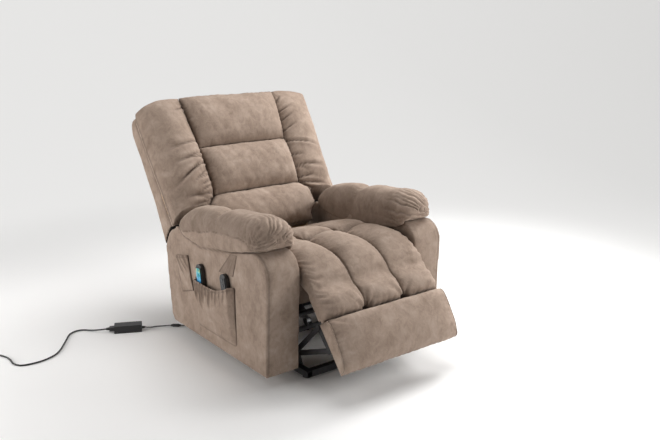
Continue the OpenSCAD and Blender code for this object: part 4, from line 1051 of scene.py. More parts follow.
# ------------------------------------------------------------------ arms
@dataclass
class Arm:
    """One arm: an upholstered shell, and the gathered cushion on it."""

    side: Side
    seed: float
    # Strength of the painted shade on the cushion's sides and front, which face sideways rather than up.
    mottle_and_side_shade: float = 0.42
    waist: float = 375.0
    waist_depth: float = 7.0
    corner: Pair = (88.0, 511.0)
    stations: Table = (
        (18, 0.477, -1.6, 79), (24, 0.648, -0.7, 54), (36, 0.805, 0.2, 24), (56, 0.9, 0.8, 6), (68, 0.935, 1, 2),
        (86.4, 0.962, 1, 0.5), (130, 0.993, 1, 0), (217, 0.985, 1, 0), (300, 1.021, 0.9, 0), (375, 0.963, 0.5, 0),
        (430, 1.02, 0.3, 0), (500, 1.013, 0.6, 0), (575, 0.94, 0.6, 0), (628, 0.683, 0.2, 0),
        (649, 0.28, -1.5, 0.5))
    top: Table = (
        (-17, 420), (40, 500), (68, 505), (86.4, 503), (217, 472), (464, 433), (600, 450), (650, 478), (700, 478))
    inner: Table = (
        (17, 322), (20, 303), (26, 288), (36, 276), (52, 268), (68, 265.5), (90, 265))
    outer: Table = (
        (17, 362), (20, 378), (26, 393), (36, 408), (52, 422), (68, 431), (90, 437))
    low: Table = (
        (17, 556), (20, 544), (26, 532), (36, 521), (52, 511), (68, 507), (90, 503))
    high: Table = (
        (17, 568), (20, 578), (26, 589), (36, 600), (52, 609), (68, 616), (90, 623), (150, 632))
    band: Table = (
        (76, 6), (99, 36), (160, 57), (239, 67), (379, 72), (495, 60), (617, 13), (640, 1))
    section: Table = (
        (-0.72, 0), (0, 0), (0.72, 0), (0.97, 0.07), (1, 0.32), (0.96, 0.58), (0.82, 0.8), (0.5, 0.95), (0.1, 1),
        (-0.35, 0.98), (-0.72, 0.86), (-0.94, 0.62), (-1, 0.36), (-0.96, 0.06), (-0.87, 0))

    def outline(self) -> list[Pair]:
        """The side view of the shell."""
        return ([(0, 45), (723, 45), (742, 70), (760, 238)] + arc(HINGE, HINGE_R, 15.6, 72, 10)
                + [(650, 478), (600, 450), (464, 433), (217, 472)] + arc((68, 420), 85, 77.5, 180, 14))

    def shell_relief(self, p: Vector, n: Vector, _a: float, _b: float) -> Pair:
        """Boxing seams along the shell's edges, slight fullness and slack cloth, with painted shade in the seams and
        under the cushion's edge, and near-black painted shadow on the rim of the round gap at the back.
        """
        out = p.x * self.side.value
        face = out > SIDE - 4
        d = (0.4 if face else 1.1) * lumps(p, 130, self.seed) + (0.2 if face else 0.7) * lumps(p, 45, self.seed + 3)
        if face and self.side is Side.LEFT:
            d -= 1.0 * step(150, 200, p.y) * step(720, 680, p.y) * step(60, 100, p.z)
        k = 0.0
        if p.y < 60 or p.z < 60:
            d += 1.5 * step(0, 40, out - INNER) * step(0, 40, SIDE - out)
        if abs(n.x) < 0.92 and p.y < 150 and p.z > 60:
            fall, dark = seam(out - (SIDE - 9), 4, 4.0)
            d, k = d + fall, max(k, dark)
        if abs(math.dist((p.y, p.z), HINGE) - HINGE_R) < 3 and p.y > 640 and p.z > 300:
            # Near-black painted shadow on the rim of the round gap to the back.
            return 0.0, 2.0 * step(SIDE - 1, SIDE - 7, out)
        if out > SIDE - 30 and p.y > 90:
            # Painted shade along the shell's top edge, under the cushion.
            k = max(k, 0.8 * bell(p.z - lookup(p.y, self.top), 4))
        if p.y < 30 and 430 > p.z > 60:
            d += 1.4 * gather(p.z, 52, self.seed) * step(12, 0, abs(out - (SIDE - 22)))
        return d, k

    def cushion_rings(self) -> list[list[Station]]:
        """Rings of the cushion, from its blunt front, which slants to the outer side, to its rear."""
        rings = []
        for y, share, hang, rise in smooth_line(self.stations, 128):
            zb = lookup(y, self.top) + 0.3 + rise
            zt = 505 + 128 * share - max(0.0, y - 68) * 0.115
            xi, xo = INNER - 20 * hang, SIDE + 7 * hang
            if y < 90:
                xi, xo = lookup(y, self.inner), lookup(y, self.outer)
                zb = lookup(y, self.low)
            zt = min(zt, lookup(y, self.high)) if y < 150 else zt
            c, a, h = (xi + xo) / 2, (xo - xi) / 2, max(6.0, zt - zb)
            hang = 20 * step(34, 80, y) * step(430, 300, y)
            line = smooth_line([(c + a * u, zb + h * w - hang * step(-0.78, -0.86, u) * step(0.6, 0.1, w))
                                for u, w in self.section], 110, closed=True)
            rings.append([(Vector((x, y, z)), y, s) for x, z, s in paced(line)])
        return rings

    def cushion_relief(self, p: Vector, n: Vector, y: float, s: float) -> Pair:
        """The waist, the outer band, and the gathers that run out of the front's lower outer corner, with painted shade
        along the cushion's foot, on its sides and in the gathers, and painted highlight on the band and the gathers'
        crests.
        """
        sd = self.seed
        d = 2.2 * lumps(p, 85, sd) + 1.1 * lumps(p, 32, sd + 4)
        rise = p.z - lookup(y, self.top)
        # Painted shade along the cushion's foot, where it sits on the shell.
        if rise < 3 and y > 70 and p.x > 300:
            return 0.3 * d, 0.8
        w = y - (self.waist - 0.16 * (p.x - 357) + 6 * lumps(p, 100, 2))
        d -= self.waist_depth * bell(w, 30)
        d += 3.0 * gather(s, 13, sd + 2) * fade(w, 19) * step(0.0, 0.7, n.z)
        # Painted shade: faces of the cushion that look sideways rather than up are darkened.
        k = self.mottle_and_side_shade * step(-0.6, 0.5, abs(n.x)) * step(1.0, 0.75, n.z) * step(30, 110, y)
        outer = step(370, 415, p.x)
        if outer and 76 < y < 640:
            line = lookup(y, self.band)
            fall, dark = seam(rise - line, 4, 4.2)
            d += fall * outer
            if rise < line:
                d += 1.0 * gather(y, 62, sd + 9) + 1.2
                # Painted highlight on the outer band below its seam.
                k = -0.3
            k = max(k, 0.85 * dark * outer)
        dx, dz, back = max(0.0, SIDE - p.x), p.z - self.corner[1], max(0.0, y - 64)
        if y < 270:
            r = math.hypot(y - self.corner[0], dz)
            up = math.atan2(dz, y - self.corner[0])
            ragged = 1.0 + 0.5 * lumps(p, 38, sd + 11)
            fold_a = gather(up + 0.12 * lumps(p, 30, sd), 0.21, sd + 6) * step(0.75, 1.25, up)
            fold_a = fold_a * math.exp(-(r / (98 * ragged)) ** 3)
            fold_b = gather(math.atan2(dz, dx + 12) + 0.05 * lumps(p, 30, sd), 0.12, sd + 8)
            fold_b = fold_b * bell(back, 70)
            near = step(4, 30, r if outer > 0.5 else math.hypot(dx, dz))
            pull = (7.5 * fold_a * outer + 4.6 * fold_b * (1 - outer)) * near
            d += pull
            # Painted shade in the gathers' valleys and painted highlight on their crests.
            k -= pull / (9 if pull < 0 else 26)
        d += 1.6 * gather(y + 0.4 * s, 46, sd + 5) * step(110, 160, y) * step(380, 250, y) * 0.5
        d += 2.4 * gather(s, 20, sd + 15) * step(560, 640, y)
        return d, k

    def build(self, shop: Workshop) -> None:
        """Makes the shell and the cushion."""
        w = self.side.word
        sign = self.side.value
        x0, x1 = (INNER, SIDE) if sign > 0 else (-SIDE, -INNER)
        bm = slab(self.outline(), x0, x1, lambda a, b: 13.0 if min(a.z, b.z) > 46 or max(a.z, b.z) > 80 else 8.0, 6.5)
        emboss(bm, self.shell_relief, soften=2)
        shop.piece(bm, f"arm_shell_{w}_cloth", "seat", "body_cloth", [f"arm_shell_{w}"])
        bm = skin(self.cushion_rings())
        emboss(bm, self.cushion_relief, soften=1)
        if sign < 0:
            to_left(bm)
        shop.piece(bm, f"arm_pillow_{w}", "seat", "cushion_cloth", [f"arm_cushion_{w}"])


# ------------------------------------------------------------------ back
@dataclass
class Pillow:
    """One of the three pillows of the back, between two cross seams."""

    name: str
    low: float
    high: float
    low_x: float
    high_x: float
    out: float
    seed: float
    drop: float = 0.0
    flare: float = 0.0
    shape: Table = (
        (0, 0.1), (0.02, 0.3), (0.08, 0.58), (0.2, 0.84), (0.38, 0.98), (0.58, 1), (0.78, 0.88), (0.91, 0.62),
        (0.98, 0.32), (1, 0.1))

    def half(self, u: float) -> float:
        """Half the pillow's width at a height up the back."""
        return (mix(self.low_x, self.high_x, (u - self.low) / (self.high - self.low))
                + self.flare * step(self.high, self.high - 46, u) * step(self.low + 36, self.low + 74, u))

    def rings(self) -> list[list[Station]]:
        """Rings of the pillow across the chair."""
        out = []
        shares = [math.sin(math.pi / 2 * (2 * i / 84 - 1)) * 0.35 + (2 * i / 84 - 1) * 0.65 for i in range(85)]
        for f in shares:
            k = 0.12 + 0.88 * math.sqrt(max(0.0, 1 - abs(f) ** 5))
            front = [(self.low + 0.5 + (self.high - self.low - 1) * p, self.out * q * k,
                      self.half(mix(self.low, self.high, p))) for p, q in self.shape]
            rear = []
            for p in (1, 0.5, 0):
                u = mix(self.low + 0.5, self.high - 0.5 - self.drop, p)
                rear.append((u, PAD_REAR, self.half(u)))
            pts = [front[0], *front, front[-1], rear[0], *rear, rear[-1]]
            ring = []
            for u, v, w in smooth_line(pts, 108, closed=True):
                y, z = back_at(u, v)
                ring.append((Vector((f * w, y, z)), u, f * w))
            out.append(ring)
        return out

    def relief(self, p: Vector, n: Vector, u: float, x: float) -> Pair:
        """Puckers along the seams, and the slackness of a soft pillow, with painted shade in the seams and in the
        puckers' valleys.
        """
        v = on_back(p)[1]
        if v < -8:
            return 0.0, 0.0
        side = max(0.0, self.half(u) - abs(x))
        d = 2.6 * lumps(p, 110, self.seed) + 1.3 * lumps(p, 42, self.seed + 4) + 0.6 * lumps(p, 18, self.seed + 7)
        d *= step(0, 30, side)
        pucker = gather(u + 5 * lumps(p, 30, 1) + 0.4 * side, 12.5, self.seed + (x > 0)) * fade(side, 15)
        d += 2.8 * pucker
        ends = min(u - self.low, self.high - u)
        d += 1.1 * gather(x, 34, self.seed + 2) * fade(max(0.0, ends), 16)
        d += 0.9 * gather(x + 0.5 * u, 70, self.seed + 3) * step(0, 50, side)
        # Painted shade in the side and end seams and in the puckers' valleys.
        k = 0.5 * fade(side, 6) + 0.55 * bell(ends, 3.5) + 0.35 * max(0.0, -pucker)
        return d, k

    def build(self, shop: Workshop) -> None:
        """Makes the pillow."""
        bm = skin(self.rings())
        emboss(bm, self.relief, soften=1)
        shop.piece(bm, f"{self.name}_cover", "back", "cushion_cloth", [self.name])


@dataclass
class Wing:
    """The bolster at one side of the back, gathered where it meets the pillows."""

    side: Side
    seed: float
    creases: list[Crease]
    crest: float = 465.0
    rear: float = -62.5
    foot_trim: float = 9.0
    edge: Table = (
        (-205, 266), (-46, 258), (-22, 240), (0, 221), (222, 224), (467, 244))
    rim: Table = ((-205, 424), (60, 429), (250, 440), (400, 444))
    shape: Table = (
        (0, 0.02), (0.05, 0.42), (0.16, 0.78), (0.34, 1), (0.54, 0.98), (0.72, 0.72), (0.87, 0.2), (0.97, -0.42),
        (1, -0.8))

    def top(self, x: float) -> float:
        """How high the wing reaches at x."""
        return self.crest - 40 * max(0.0, (x - 244) / 190) ** 3

    def ring(self, t: float) -> list[Station]:
        """The ring a share t of the way up the wing."""
        top = t ** 6
        k = 1.0 if t < 0.5 else 1 - 0.85 * top
        rows = []
        for p, q in self.shape:
            v = 50 * q * (k * (0.42 + 0.58 * min(1, t * 4.5)) if q > 0 else 1)
            u = mix(-30 - (45 - v) * 0.62, self.top(mix(244, SIDE - 1, p)), t)
            rows.append((mix(lookup(u, self.edge) + 0.6, lookup(u, self.rim), p), u, v))
        for p in (1, 0.5, 0):
            u = mix(-22 - 104.7 * 0.62, self.top(mix(244, SIDE - 1, p)) - 40, t)
            rows.append((mix(lookup(u, self.edge) + 0.6, lookup(u, self.rim), p), u, self.rear))
        ring = []
        for x, u, v in smooth_line([rows[0], *rows[:9], rows[8], rows[9], *rows[9:], rows[11]], 96, closed=True):
            y, z = back_at(u, v)
            ring.append((Vector((x, y, z)), u, x))
        return ring

    def relief(self, p: Vector, n: Vector, u: float, x: float) -> Pair:
        """Creases, the gathers of the inner seam, and the roll over the side, with painted shade along the inner seam,
        round the foot, on the rear that turns under and in the creases.
        """
        v = on_back(p)[1]
        if v < -52:
            return 0.0, 0.0
        side = max(0.0, x - lookup(u, self.edge))
        d = 2.2 * lumps(p, 90, self.seed) + 1.1 * lumps(p, 34, self.seed + 4)
        d *= step(-50, -20, v)
        fall, dark = fold(x, u, self.creases)
        d += 1.5 * fall * step(-35, 0, v)
        pucker = gather(u - 0.55 * side, 13.5, self.seed + 1) * fade(side, 15) * step(470, 400, u)
        d += 2.6 * pucker + 1.6 * gather(u - 0.8 * side, 31, self.seed + 6) * fade(side, 60) * step(330, 200, u)
        low = math.hypot(side, u + 20)
        d -= self.foot_trim * step(45, -8, u) * step(-20, 5, v)
        d += 3.4 * fan(side, u, (-6, -18), 22, 60, self.seed + 2)
        # Painted shade along the inner seam, round the wing's foot and on its rear where it turns under; the creases
        # and the puckers add painted shade and painted highlight.
        edge = max(0.5 * fade(side, 6), 0.3 * bell(low, 12), 0.8 * step(-34, -54, v))
        k = max(edge, dark - 0.4 * pucker) if edge > 0.05 or dark > 0 else dark - 0.4 * pucker
        return d, k

    def build(self, shop: Workshop) -> None:
        """Makes the wing."""
        n = 96
        bm = skin([self.ring(math.sin(math.pi * i / n / 2) ** 1.2 if i < n else 1.0) for i in range(n + 1)])
        emboss(bm, self.relief, soften=1)
        if self.side is Side.LEFT:
            to_left(bm)
        shop.piece(bm, f"wing_{self.side.word}_cover", "back", "body_cloth", [f"wing_{self.side.word}"])


@dataclass
class BackShell:
    """The upholstered box round the rear and the sides of the back."""

    wide: Table = ((-205, 427), (60, 424), (250, 434), (420, 448))
    gap: Pair = (-260.7, -53.6)
    gap_r: float = 177.0
    panel_x: float = 412.0

    def outline(self) -> list[Pair]:
        """The side view of the shell."""
        pts = [(-84, -61), (410, -61), (432, -84), (430, -112), (405, -132), (120, -153), (-128, -171)]
        rim = [back_at(self.gap[0] + a, self.gap[1] + b) for a, b in arc((0, 0), self.gap_r, -41.4, -2.4, 10)]
        return [back_at(u, v) for u, v in pts] + rim[1:-1]

    @staticmethod
    def radius(a: Vector, b: Vector) -> float:
        """The rounding of an edge of a side face."""
        return 58.0 if min(on_back(a)[0], on_back(b)[0]) > 404 else 12.0

    def relief(self, p: Vector, n: Vector, _a: float, _b: float) -> Pair:
        """Side seams, fullness of the rear panel and slackness, with painted shade in the seams, a painted shadow of
        the wing along each side and near-black painted shadow on the rim of the round gap.
        """
        u, v = on_back(p)
        x = abs(p.x)
        d = 1.3 * lumps(p, 140, 6) + 0.7 * lumps(p, 46, 9)
        k = 0.0
        if abs(math.dist((u, v), self.gap) - self.gap_r) < 3 and u < -80:
            # Near-black painted shadow on the rim of the round gap above the arm.
            return 0.0, 2.0 * step(SIDE - 3, SIDE - 9, x)
        if v < -100:
            d += 4.0 * step(430, 330, x) * step(-130, -40, u) * step(432, 330, u)
            fall, dark = seam(x - self.panel_x, 4, 3.5)
            d, k = d + fall, max(k, dark)
            d += 1.0 * gather(u, 46, 3) * fade(x - self.panel_x, 18)
        if x > 410:
            # Painted shadow of the wing on the shell's side, wider lower down.
            k = max(k, 0.75 * bell(v + 61, 9 + 14 * step(420, 60, u)))
        return d, k

    def build(self, shop: Workshop) -> None:
        """Makes the shell."""
        bm = slab(self.outline(), -SIDE, SIDE, self.radius, 7.5)
        for vert in bm.verts:
            vert.co.x *= lookup(on_back(vert.co)[0], self.wide) / SIDE
        emboss(bm, self.relief, soften=2)
        shop.piece(bm, "back_shell_cloth", "back", "body_cloth", ["back_cover"])


# ------------------------------------------------------------------ pockets and handsets
@dataclass
class Pockets:
    """The gathered pocket, the slim pocket and the pleated flap on the left arm."""

    face: float = -430.0
    front: float = 203.0
    rear: float = 514.0
    foot: float = 94.0
    top: float = 336.0
    scoop: Point = (372.0, 596.0, 300.0)
    bulge: float = 26.0
    tall: float = 200.0
    broad: float = 300.0
    pleats: list[Crease] = field(default_factory=lambda: creases(
        (2, 296, 62, 276, 6, 5), (2, 276, 88, 262, 7, 4.5), (2, 254, 58, 246, 6, 4), (2, 232, 112, 236, 7.5, 4.5),
        (2, 208, 84, 216, 7, 4), (2, 184, 54, 190, 6, 4), (2, 160, 96, 176, 6.5, 4), (2, 134, 48, 142, 5.5, 4),
        (2, 106, 62, 120, 5, 4), (2, 78, 40, 88, 4.5, 4), (2, 48, 56, 62, 4, 4), (2, 22, 34, 28, 3, 4)))
    slack: list[Crease] = field(default_factory=lambda: creases(
        (0.99, 0.86, 0.38, 0.36, 0.075, 0.045), (0.99, 0.32, 0.66, 0.1, 0.06, 0.045),
        (0.95, 0.6, 0.55, 0.2, 0.04, 0.04), (0.7, 0.93, 0.15, 0.95, 0.04, 0.05)))

    def mouth(self, y: float) -> float:
        """How high the large pocket's cloth reaches at y, on an arc that is flatter to the rear."""
        middle, centre, radius = self.scoop
        off = (y - middle) * (0.45 if y > middle else 1.0)
        return min(self.top, centre - math.sqrt(radius ** 2 - off ** 2))

    def sew(self, shop: Workshop, node: str, rows: int, cols: int, spot: Spot,
            relief: Callable[[Vector, float, float], Pair], wall: float) -> None:
        """Makes one open sheet of cloth on the arm.

        Args:
            shop: the workshop.
            node: the node that it stands for.
            rows: its grid's steps upward.
            cols: its grid's steps to the rear.
            spot: the point at a share of the way up and to the rear.
            relief: outward offset and darkness at a point and at those shares.
            wall: the thickness of its cloth.
        """
        bm = skin([[(Vector(spot(i / rows, j / cols)), i / rows, j / cols) for j in range(cols + 1)]
                   for i in range(rows + 1)], closed=False)

        def outer(p: Vector, n: Vector, t: float, s: float) -> Pair:
            """The relief, turned outward whichever way the grid's faces look."""
            d, k = relief(p, t, s)
            return (-d if n.x < 0 else d), k

        emboss(bm, outer)
        if sum(f.normal.x * f.calc_area() for f in bm.faces) > 0:
            bmesh.ops.reverse_faces(bm, faces=bm.faces[:])
        shop.piece(bm, f"{node}_cloth", "seat", "body_cloth", [node], wall=wall)

    def patch(self, corners: Sequence[Pair], lift: Callable[[float, float], float]) -> Spot:
        """The point of a patch at a share of the way up and to the rear.

        Args:
            corners: [y, z] of the top front, top rear, bottom rear and bottom front corners.
            lift: how far it stands off the arm at those shares.

        Returns:
            A function of the two shares.
        """
        front, rear, low_rear, low_front = corners
        return lambda t, s: (self.face - lift(t, s), *(
            mix(mix(c, d, s), mix(a, b, s), t) for a, b, c, d in zip(front, rear, low_front, low_rear)))

    def large_spot(self, t: float, c: float) -> Point:
        """The point of the gathered pocket at a share of the way up and to the rear."""
        y = mix(self.front, self.rear, c)
        z = mix(self.foot, self.mouth(y), t)
        belly = step(-8, 28, y - self.front) * step(-4, 44, self.rear - y)
        high = z - self.foot
        out = self.bulge * belly * (0.45 * step(0, 26, high + 4) + 0.55 * step(40, 145, high)) + 0.6
        return self.face - out, y, z

    def large(self, p: Vector, t: float, c: float) -> Pair:
        """The gathered pocket's pleats, which fade down from its scooped mouth, and its hem, with painted shade at the
        hem, along its edges and in the pleats.
        """
        bite = step(0.02, 0.09, c) * step(0.98, 0.9, c)
        fall, dark = fold(self.tall * (1 - t), (self.rear - self.front) * c, self.pleats)
        pleat = gather(p.y, 12.5, 4) * bite * step(0.72, 1.0, t) ** 1.5
        d = 2.4 + 1.5 * pleat + bite * (fall + 1.2 * lumps(p, 60, 2))
        hem = bell((1 - t) * self.tall / 4 - 1.8)
        rim = min(c, 1 - c) * self.broad
        # Painted shade at the hem, along the sides and foot, and in the pleats.
        return d - 2.2 * hem, max(0.5 * hem, 0.7 * bell(rim, 3.5), 0.4 * max(0.0, -pleat), dark,
                                  0.7 * bell(t * self.tall, 5))

    def slim(self, p: Vector, t: float, s: float) -> Pair:
        """Folds that cross the slim pocket's slack cloth, and its stitched edge, with painted shade in the folds, at
        the mouth, in its top corners and along its edges.
        """
        fall, dark = fold(t, s, self.slack)
        mouth = bell((1 - t) / 0.03 - 1.6)
        corner = bell(1 - t, 0.08) * bell(min(s, 1 - s), 0.12)
        # Painted shade along the pocket's sewn edges.
        edge_shade = 0.95 * bell(min(s, 1 - s, t * 1.6), 0.045)
        return 70 * fall - 1.8 * mouth, max(dark, edge_shade, 0.6 * mouth, corner)

    @staticmethod
    def flap(p: Vector, t: float, s: float) -> Pair:
        """Fine pleats that run down the flap from its point, with the whole flap in painted shade, darker along both
        edges and in the pleats' valleys.
        """
        pleat = gather(s, 0.17, 5) * step(1.04, 0.7, t)
        # Painted shade over the whole flap, darker along its edges and in the pleats.
        dark = max(0.95 * bell(s - 0.99, 0.09), 0.85 * bell(s, 0.08), 0.35 + 0.35 * max(0.0, -pleat))
        return 0.35 * pleat + 0.3 * bell(s - 0.9, 0.07), dark

    def build(self, shop: Workshop) -> None:
        """Makes the pockets and the flap."""
        self.sew(shop, "pocket_large", 74, 96, self.large_spot, self.large, 1.8)
        slim = self.patch([(567, 376), (668, 353), (629, 202), (531, 233)],
                          lambda t, s: 3.0 + 8 * (4 * s * (1 - s)) ** 0.6 * step(0, 0.4, t))
        self.sew(shop, "pocket_slim", 48, 36, slim, self.slim, 1.6)
        flap = self.patch([(184, 468), (232, 462), (322, 371), (216, 378)], lambda t, s: 0.5 + 0.9 * (4 * s * (1 - s)))
        self.sew(shop, "pocket_flap", 48, 36, flap, self.flap, 1.6)


@dataclass
class HandsetFace:
    """The coloured panel on the raised face of the massage handset, round its two keys."""

    top: Pair = (456.0, 369.0)
    lean: float = 8.0
    face: float = -449.9
    half: float = 16.4
    span: Pair = (-75.5, -15.5)
    keys: Pair = (-22.0, -44.0)

    def loop(self, bm: BMesh, points: Sequence[Pair]) -> list[bmesh.types.BMEdge]:
        """A closed line of edges through points of the handset's own plane."""
        c, s = math.cos(math.radians(self.lean)), math.sin(math.radians(self.lean))
        spots = [bm.verts.new((self.face, self.top[0] + u * s + v * c, self.top[1] + u * c - v * s))
                 for u, v in points]
        return [bm.edges.new((a, b)) for a, b in zip(spots, spots[1:] + spots[:1])]

    def build(self, shop: Workshop) -> None:
        """Makes the panel."""
        bm = bmesh.new()
        bm.verts.layers.float.new("seam")
        r, (low, high) = 7.0, self.span
        side = self.half - r
        corners = ((high - r, side, 0), (low + r, side, 90), (low + r, -side, 180), (high - r, -side, 270))
        rim = [p for cu, cv, a in corners for p in arc((cu, cv), r, a, a + 90, 7)]
        edges = self.loop(bm, rim)
        for u in self.keys:
            edges += self.loop(bm, arc((u, 0), 7.1, 0, 345, 23))
        faces = bmesh.ops.triangle_fill(bm, edges=edges, use_beauty=True)["geom"]
        out = bmesh.ops.extrude_face_region(bm, geom=[g for g in faces if isinstance(g, bmesh.types.BMFace)])["geom"]
        bmesh.ops.translate(bm, verts=points_of(out), vec=(-0.7, 0, 0))
        bmesh.ops.recalc_face_normals(bm, faces=bm.faces[:])
        shop.piece(bm, "handset_a_panel", "handset_a", "key_teal", finish=Screen().make())


# ------------------------------------------------------------------ room
@dataclass(frozen=True)
class PaleSweep:
    """Matt white floor, which turns into a pale glowing backdrop away from the chair; the glow is painted darker
    towards the right as painted shade.
    """

    floor: Colour = (0.9, 0.9, 0.9)
    left: Colour = (0.86, 0.855, 0.845)
    right: Colour = (0.74, 0.735, 0.725)
    centre: Point = (-0.1, 0.0, 0.0)
    near: float = 1.1
    far: float = 2.9
    share: float = 0.92

    def make(self) -> bpy.types.Material:
        """Builds the material."""
        t = Tree("pale_sweep")
        t.dress(Base_Color=self.floor, Roughness=0.7 + t.grain(500, 3) * 0.1, Specular_IOR_Level=0.2)
        apart = t.node("ShaderNodeSeparateXYZ", {}, {0: t.place}, "X")
        far = t.node("ShaderNodeVectorMath", {"operation": "DISTANCE"}, {0: t.place, 1: self.centre}, "Value")
        reach = t.node("ShaderNodeMapRange", {"interpolation_type": "SMOOTHSTEP"},
                       {"Value": far, "From Min": self.near, "From Max": self.far, "To Min": 0.0,
                        "To Max": self.share}, 0)
        light = t.node("ShaderNodeLightPath", {}, {}, "Is Camera Ray")
        gloss = t.node("ShaderNodeLightPath", {}, {}, "Is Glossy Ray")
        # Painted shade: the backdrop's glow runs from the paler colour on the left to the darker one on the right.
        across = t.node("ShaderNodeMapRange", {}, {"Value": apart, "From Min": -1.0, "From Max": 4.5}, 0)
        glow = t.node("ShaderNodeEmission", {}, {"Color": t.blend(across, self.left, self.right), "Strength": 1.0}, 0)
        both = t.node("ShaderNodeMixShader", {},
                      {0: reach * (light + gloss), 1: Value(t, t.shader.outputs[0]), 2: glow}, 0)
        t.links.new(both.socket, t.nodes["Material Output"].inputs["Surface"])
        return t.material


@dataclass
class Studio:
    """A pale sweep, soft lamps and the camera."""

    eye: Point = (-1.8799, -2.6327, 1.3585)
    look: Point = (0.5907, 0.7645, -0.2581)
    lens: float = 43.64
    sensor: float = 36.0
    turn: float = -37.69
    half: float = 14.0
    bend_y: float = 2.2
    bend_r: float = 1.6
    sky: tuple[float, ...] = (0.94, 0.97, 1.0, 1)
    backdrop: tuple[float, ...] = (0.86, 0.86, 0.86, 1)
    lamps: tuple[tuple[str, Point, Point, float, float, Colour], ...] = (
        ("key", (2.4, 0.2, 2.0), (0.0, 0.0, 0.45), 0.9, 62, (1.0, 0.992, 0.98)),
        ("low", (1.7, -1.6, 1.1), (0.0, 0.0, 0.4), 0.8, 28, (1.0, 0.99, 0.975)),
        ("over", (0.45, 0.1, 3.0), (0.0, 0.0, 0.4), 1.8, 52, (1.0, 0.995, 0.985)),
        ("upper", (-2.2, 0.3, 2.8), (-1.5, 0.1, 0.0), 1.4, 12, (1.0, 0.995, 0.985)),
        ("left", (-3.0, 0.2, 0.9), (-0.2, 0.1, 0.4), 1.6, 18, (1.0, 0.98, 0.96)),
        ("side", (-2.4, 1.2, 0.7), (-0.3, 0.3, 0.3), 1.2, 25, (1.0, 0.98, 0.96)),
        ("front", (0.4, -3.2, 0.9), (0.0, 0.0, 0.45), 1.6, 16, (1.0, 0.98, 0.96)))

    @staticmethod
    def aim(obj: bpy.types.Object, place: Point, way: Vector) -> None:
        """Stands a lamp or the camera at a point, looking along a direction."""
        obj.location = place
        obj.rotation_euler = way.to_track_quat("-Z", "Y").to_euler()

    def lamp(self, name: str, place: Point, target: Point, size: float, power: float, tint: Colour) -> None:
        """A soft square lamp that looks at a point."""
        light = bpy.data.lights.new(name, "AREA")
        light.shape, light.size, light.energy, light.color = "SQUARE", size, power, tint
        self.aim(put(name, light), place, Vector(target) - Vector(place))

    def sweep(self) -> None:
        """The floor, which curves up into the backdrop."""
        bm = bmesh.new()
        turns = [math.radians(7.5 * k) for k in range(1, 13)]
        r, y0 = self.bend_r, self.bend_y
        curve = [(y0 + r * math.sin(a), r - r * math.cos(a)) for a in turns]
        line = [(-self.half, 0.0), (-4.0, 0.0), (y0, 0.0), *curve, (3.8, 9.0)]
        turn = Matrix.Rotation(math.radians(self.turn), 4, "Z")
        points = [bm.verts.new(turn @ Vector((-self.half, y, z))) for y, z in line]
        edges = [bm.edges.new(pair) for pair in zip(points, points[1:])]
        out = bmesh.ops.extrude_edge_only(bm, edges=edges)["geom"]
        bmesh.ops.translate(bm, verts=points_of(out), vec=turn @ Vector((2 * self.half, 0, 0)))
        bmesh.ops.translate(bm, verts=bm.verts[:], vec=(0, 0, -0.0004))
        bmesh.ops.recalc_face_normals(bm, faces=bm.faces[:])
        settle(bm, "sweep", PaleSweep().make())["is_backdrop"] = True

    def world(self) -> bpy.types.World:
        """A faint cool sky, which the camera sees as a pale backdrop."""
        world = bpy.data.worlds.new("studio")
        world.use_nodes = True
        nodes, links = world.node_tree.nodes, world.node_tree.links
        faint, seen = nodes["Background"], nodes.new("ShaderNodeBackground")
        faint.inputs[0].default_value, faint.inputs[1].default_value = self.sky, 0.03
        seen.inputs[0].default_value, seen.inputs[1].default_value = self.backdrop, 1.0
        ray, mixed = nodes.new("ShaderNodeLightPath"), nodes.new("ShaderNodeMixShader")
        for source, target in ((ray.outputs["Is Camera Ray"], mixed.inputs[0]), (faint.outputs[0], mixed.inputs[1]),
                               (seen.outputs[0], mixed.inputs[2]),
                               (mixed.outputs[0], nodes["World Output"].inputs["Surface"])):
            links.new(source, target)
        return world

    def build(self) -> None:
        """Makes the room, its light and the camera."""
        scene = bpy.context.scene
        self.sweep()
        scene.world = self.world()
        for row in self.lamps:
            self.lamp(*row)
        camera = bpy.data.cameras.new("camera")
        camera.lens, camera.sensor_width, camera.clip_start, camera.clip_end = self.lens, self.sensor, 0.05, 60.0
        scene.camera = put("camera", camera)
        self.aim(scene.camera, self.eye, Vector(self.look))
        scene.view_settings.view_transform = "Standard"


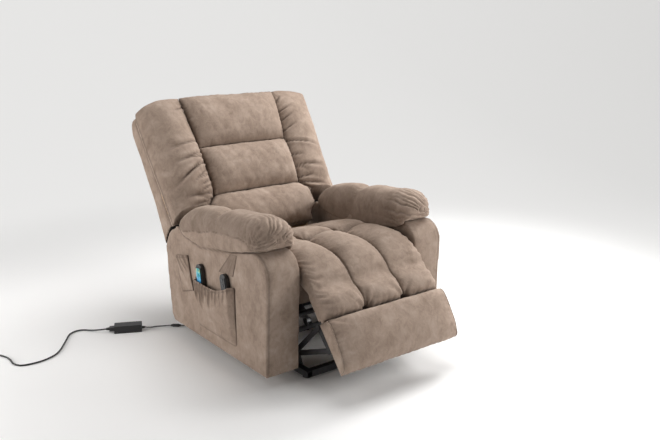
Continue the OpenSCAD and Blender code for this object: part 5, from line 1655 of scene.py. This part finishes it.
def dress_nodes(shop: Workshop) -> None:
    """Gives every node of the frame its finish, by the record's slots."""
    for part in shop.frame["record"]["subparts"]:
        mesh = shop.frame["nodes"][part["node"]].data
        mesh.materials.clear()
        mesh.materials.append(shop.finish[part["material_slot"]])


def main() -> None:
    """Builds the chair's looks in order, then the room."""
    logging.basicConfig(level=logging.INFO, format="%(name)s %(message)s", stream=sys.stdout)
    shop = Workshop()
    Studio().build()
    PowerLeads().build(shop)
    dress_nodes(shop)
    Chaise().build(shop)
    FootRoll().build(shop)
    Arm(Side.LEFT, 3.0).build(shop)
    Arm(Side.RIGHT, 17.0).build(shop)
    Pillow("pillow_head", 222, 467, 224, 244, 57, 2.0, drop=46).build(shop)
    Pillow("pillow_middle", 0, 222, 220, 224, 60, 11.0).build(shop)
    Pillow("pillow_lumbar", -190, 0, 228, 220, 58, 23.0, flare=36).build(shop)
    Wing(Side.LEFT, 5.0, creases(
        (236, 146, 372, 84, 8.5, 5.5), (262, 146, 405, 52, 7, 7), (236, 110, 322, 56, 5.5, 5),
        (238, 250, 385, 222, 4.5, 8), (236, 196, 380, 152, 4, 7), (236, 174, 375, 166, 3.5, 8),
        (238, 64, 290, 40, 5, 5), (234, 40, 295, 18, 4.5, 5), (232, -16, 308, -2, 7, 5),
        (246, -22, 360, -40, 5, 6), (262, -36, 345, -54, 4, 6), (238, 8, 370, 6, 4, 8),
        (238, 88, 290, 72, 3.5, 5), (240, 420, 300, 398, 3, 6))).build(shop)
    Wing(Side.RIGHT, 14.0, creases(
        (232, 392, 272, 434, 6, 5), (230, 348, 298, 376, 6, 5), (228, 302, 292, 335, 6, 5),
        (226, 254, 298, 284, 5, 5), (222, 204, 378, 160, 8, 5.5), (236, 78, 375, 56, 4.5, 7),
        (222, 20, 305, 18, 6.5, 5), (220, -4, 360, -28, 8, 6), (244, -22, 330, -70, 6, 6),
        (224, 72, 268, 56, 4, 6), (222, 131, 275, 122, 4, 6))).build(shop)
    BackShell().build(shop)
    Pockets().build(shop)
    HandsetFace().build(shop)


if __name__ == "__main__":
    main()
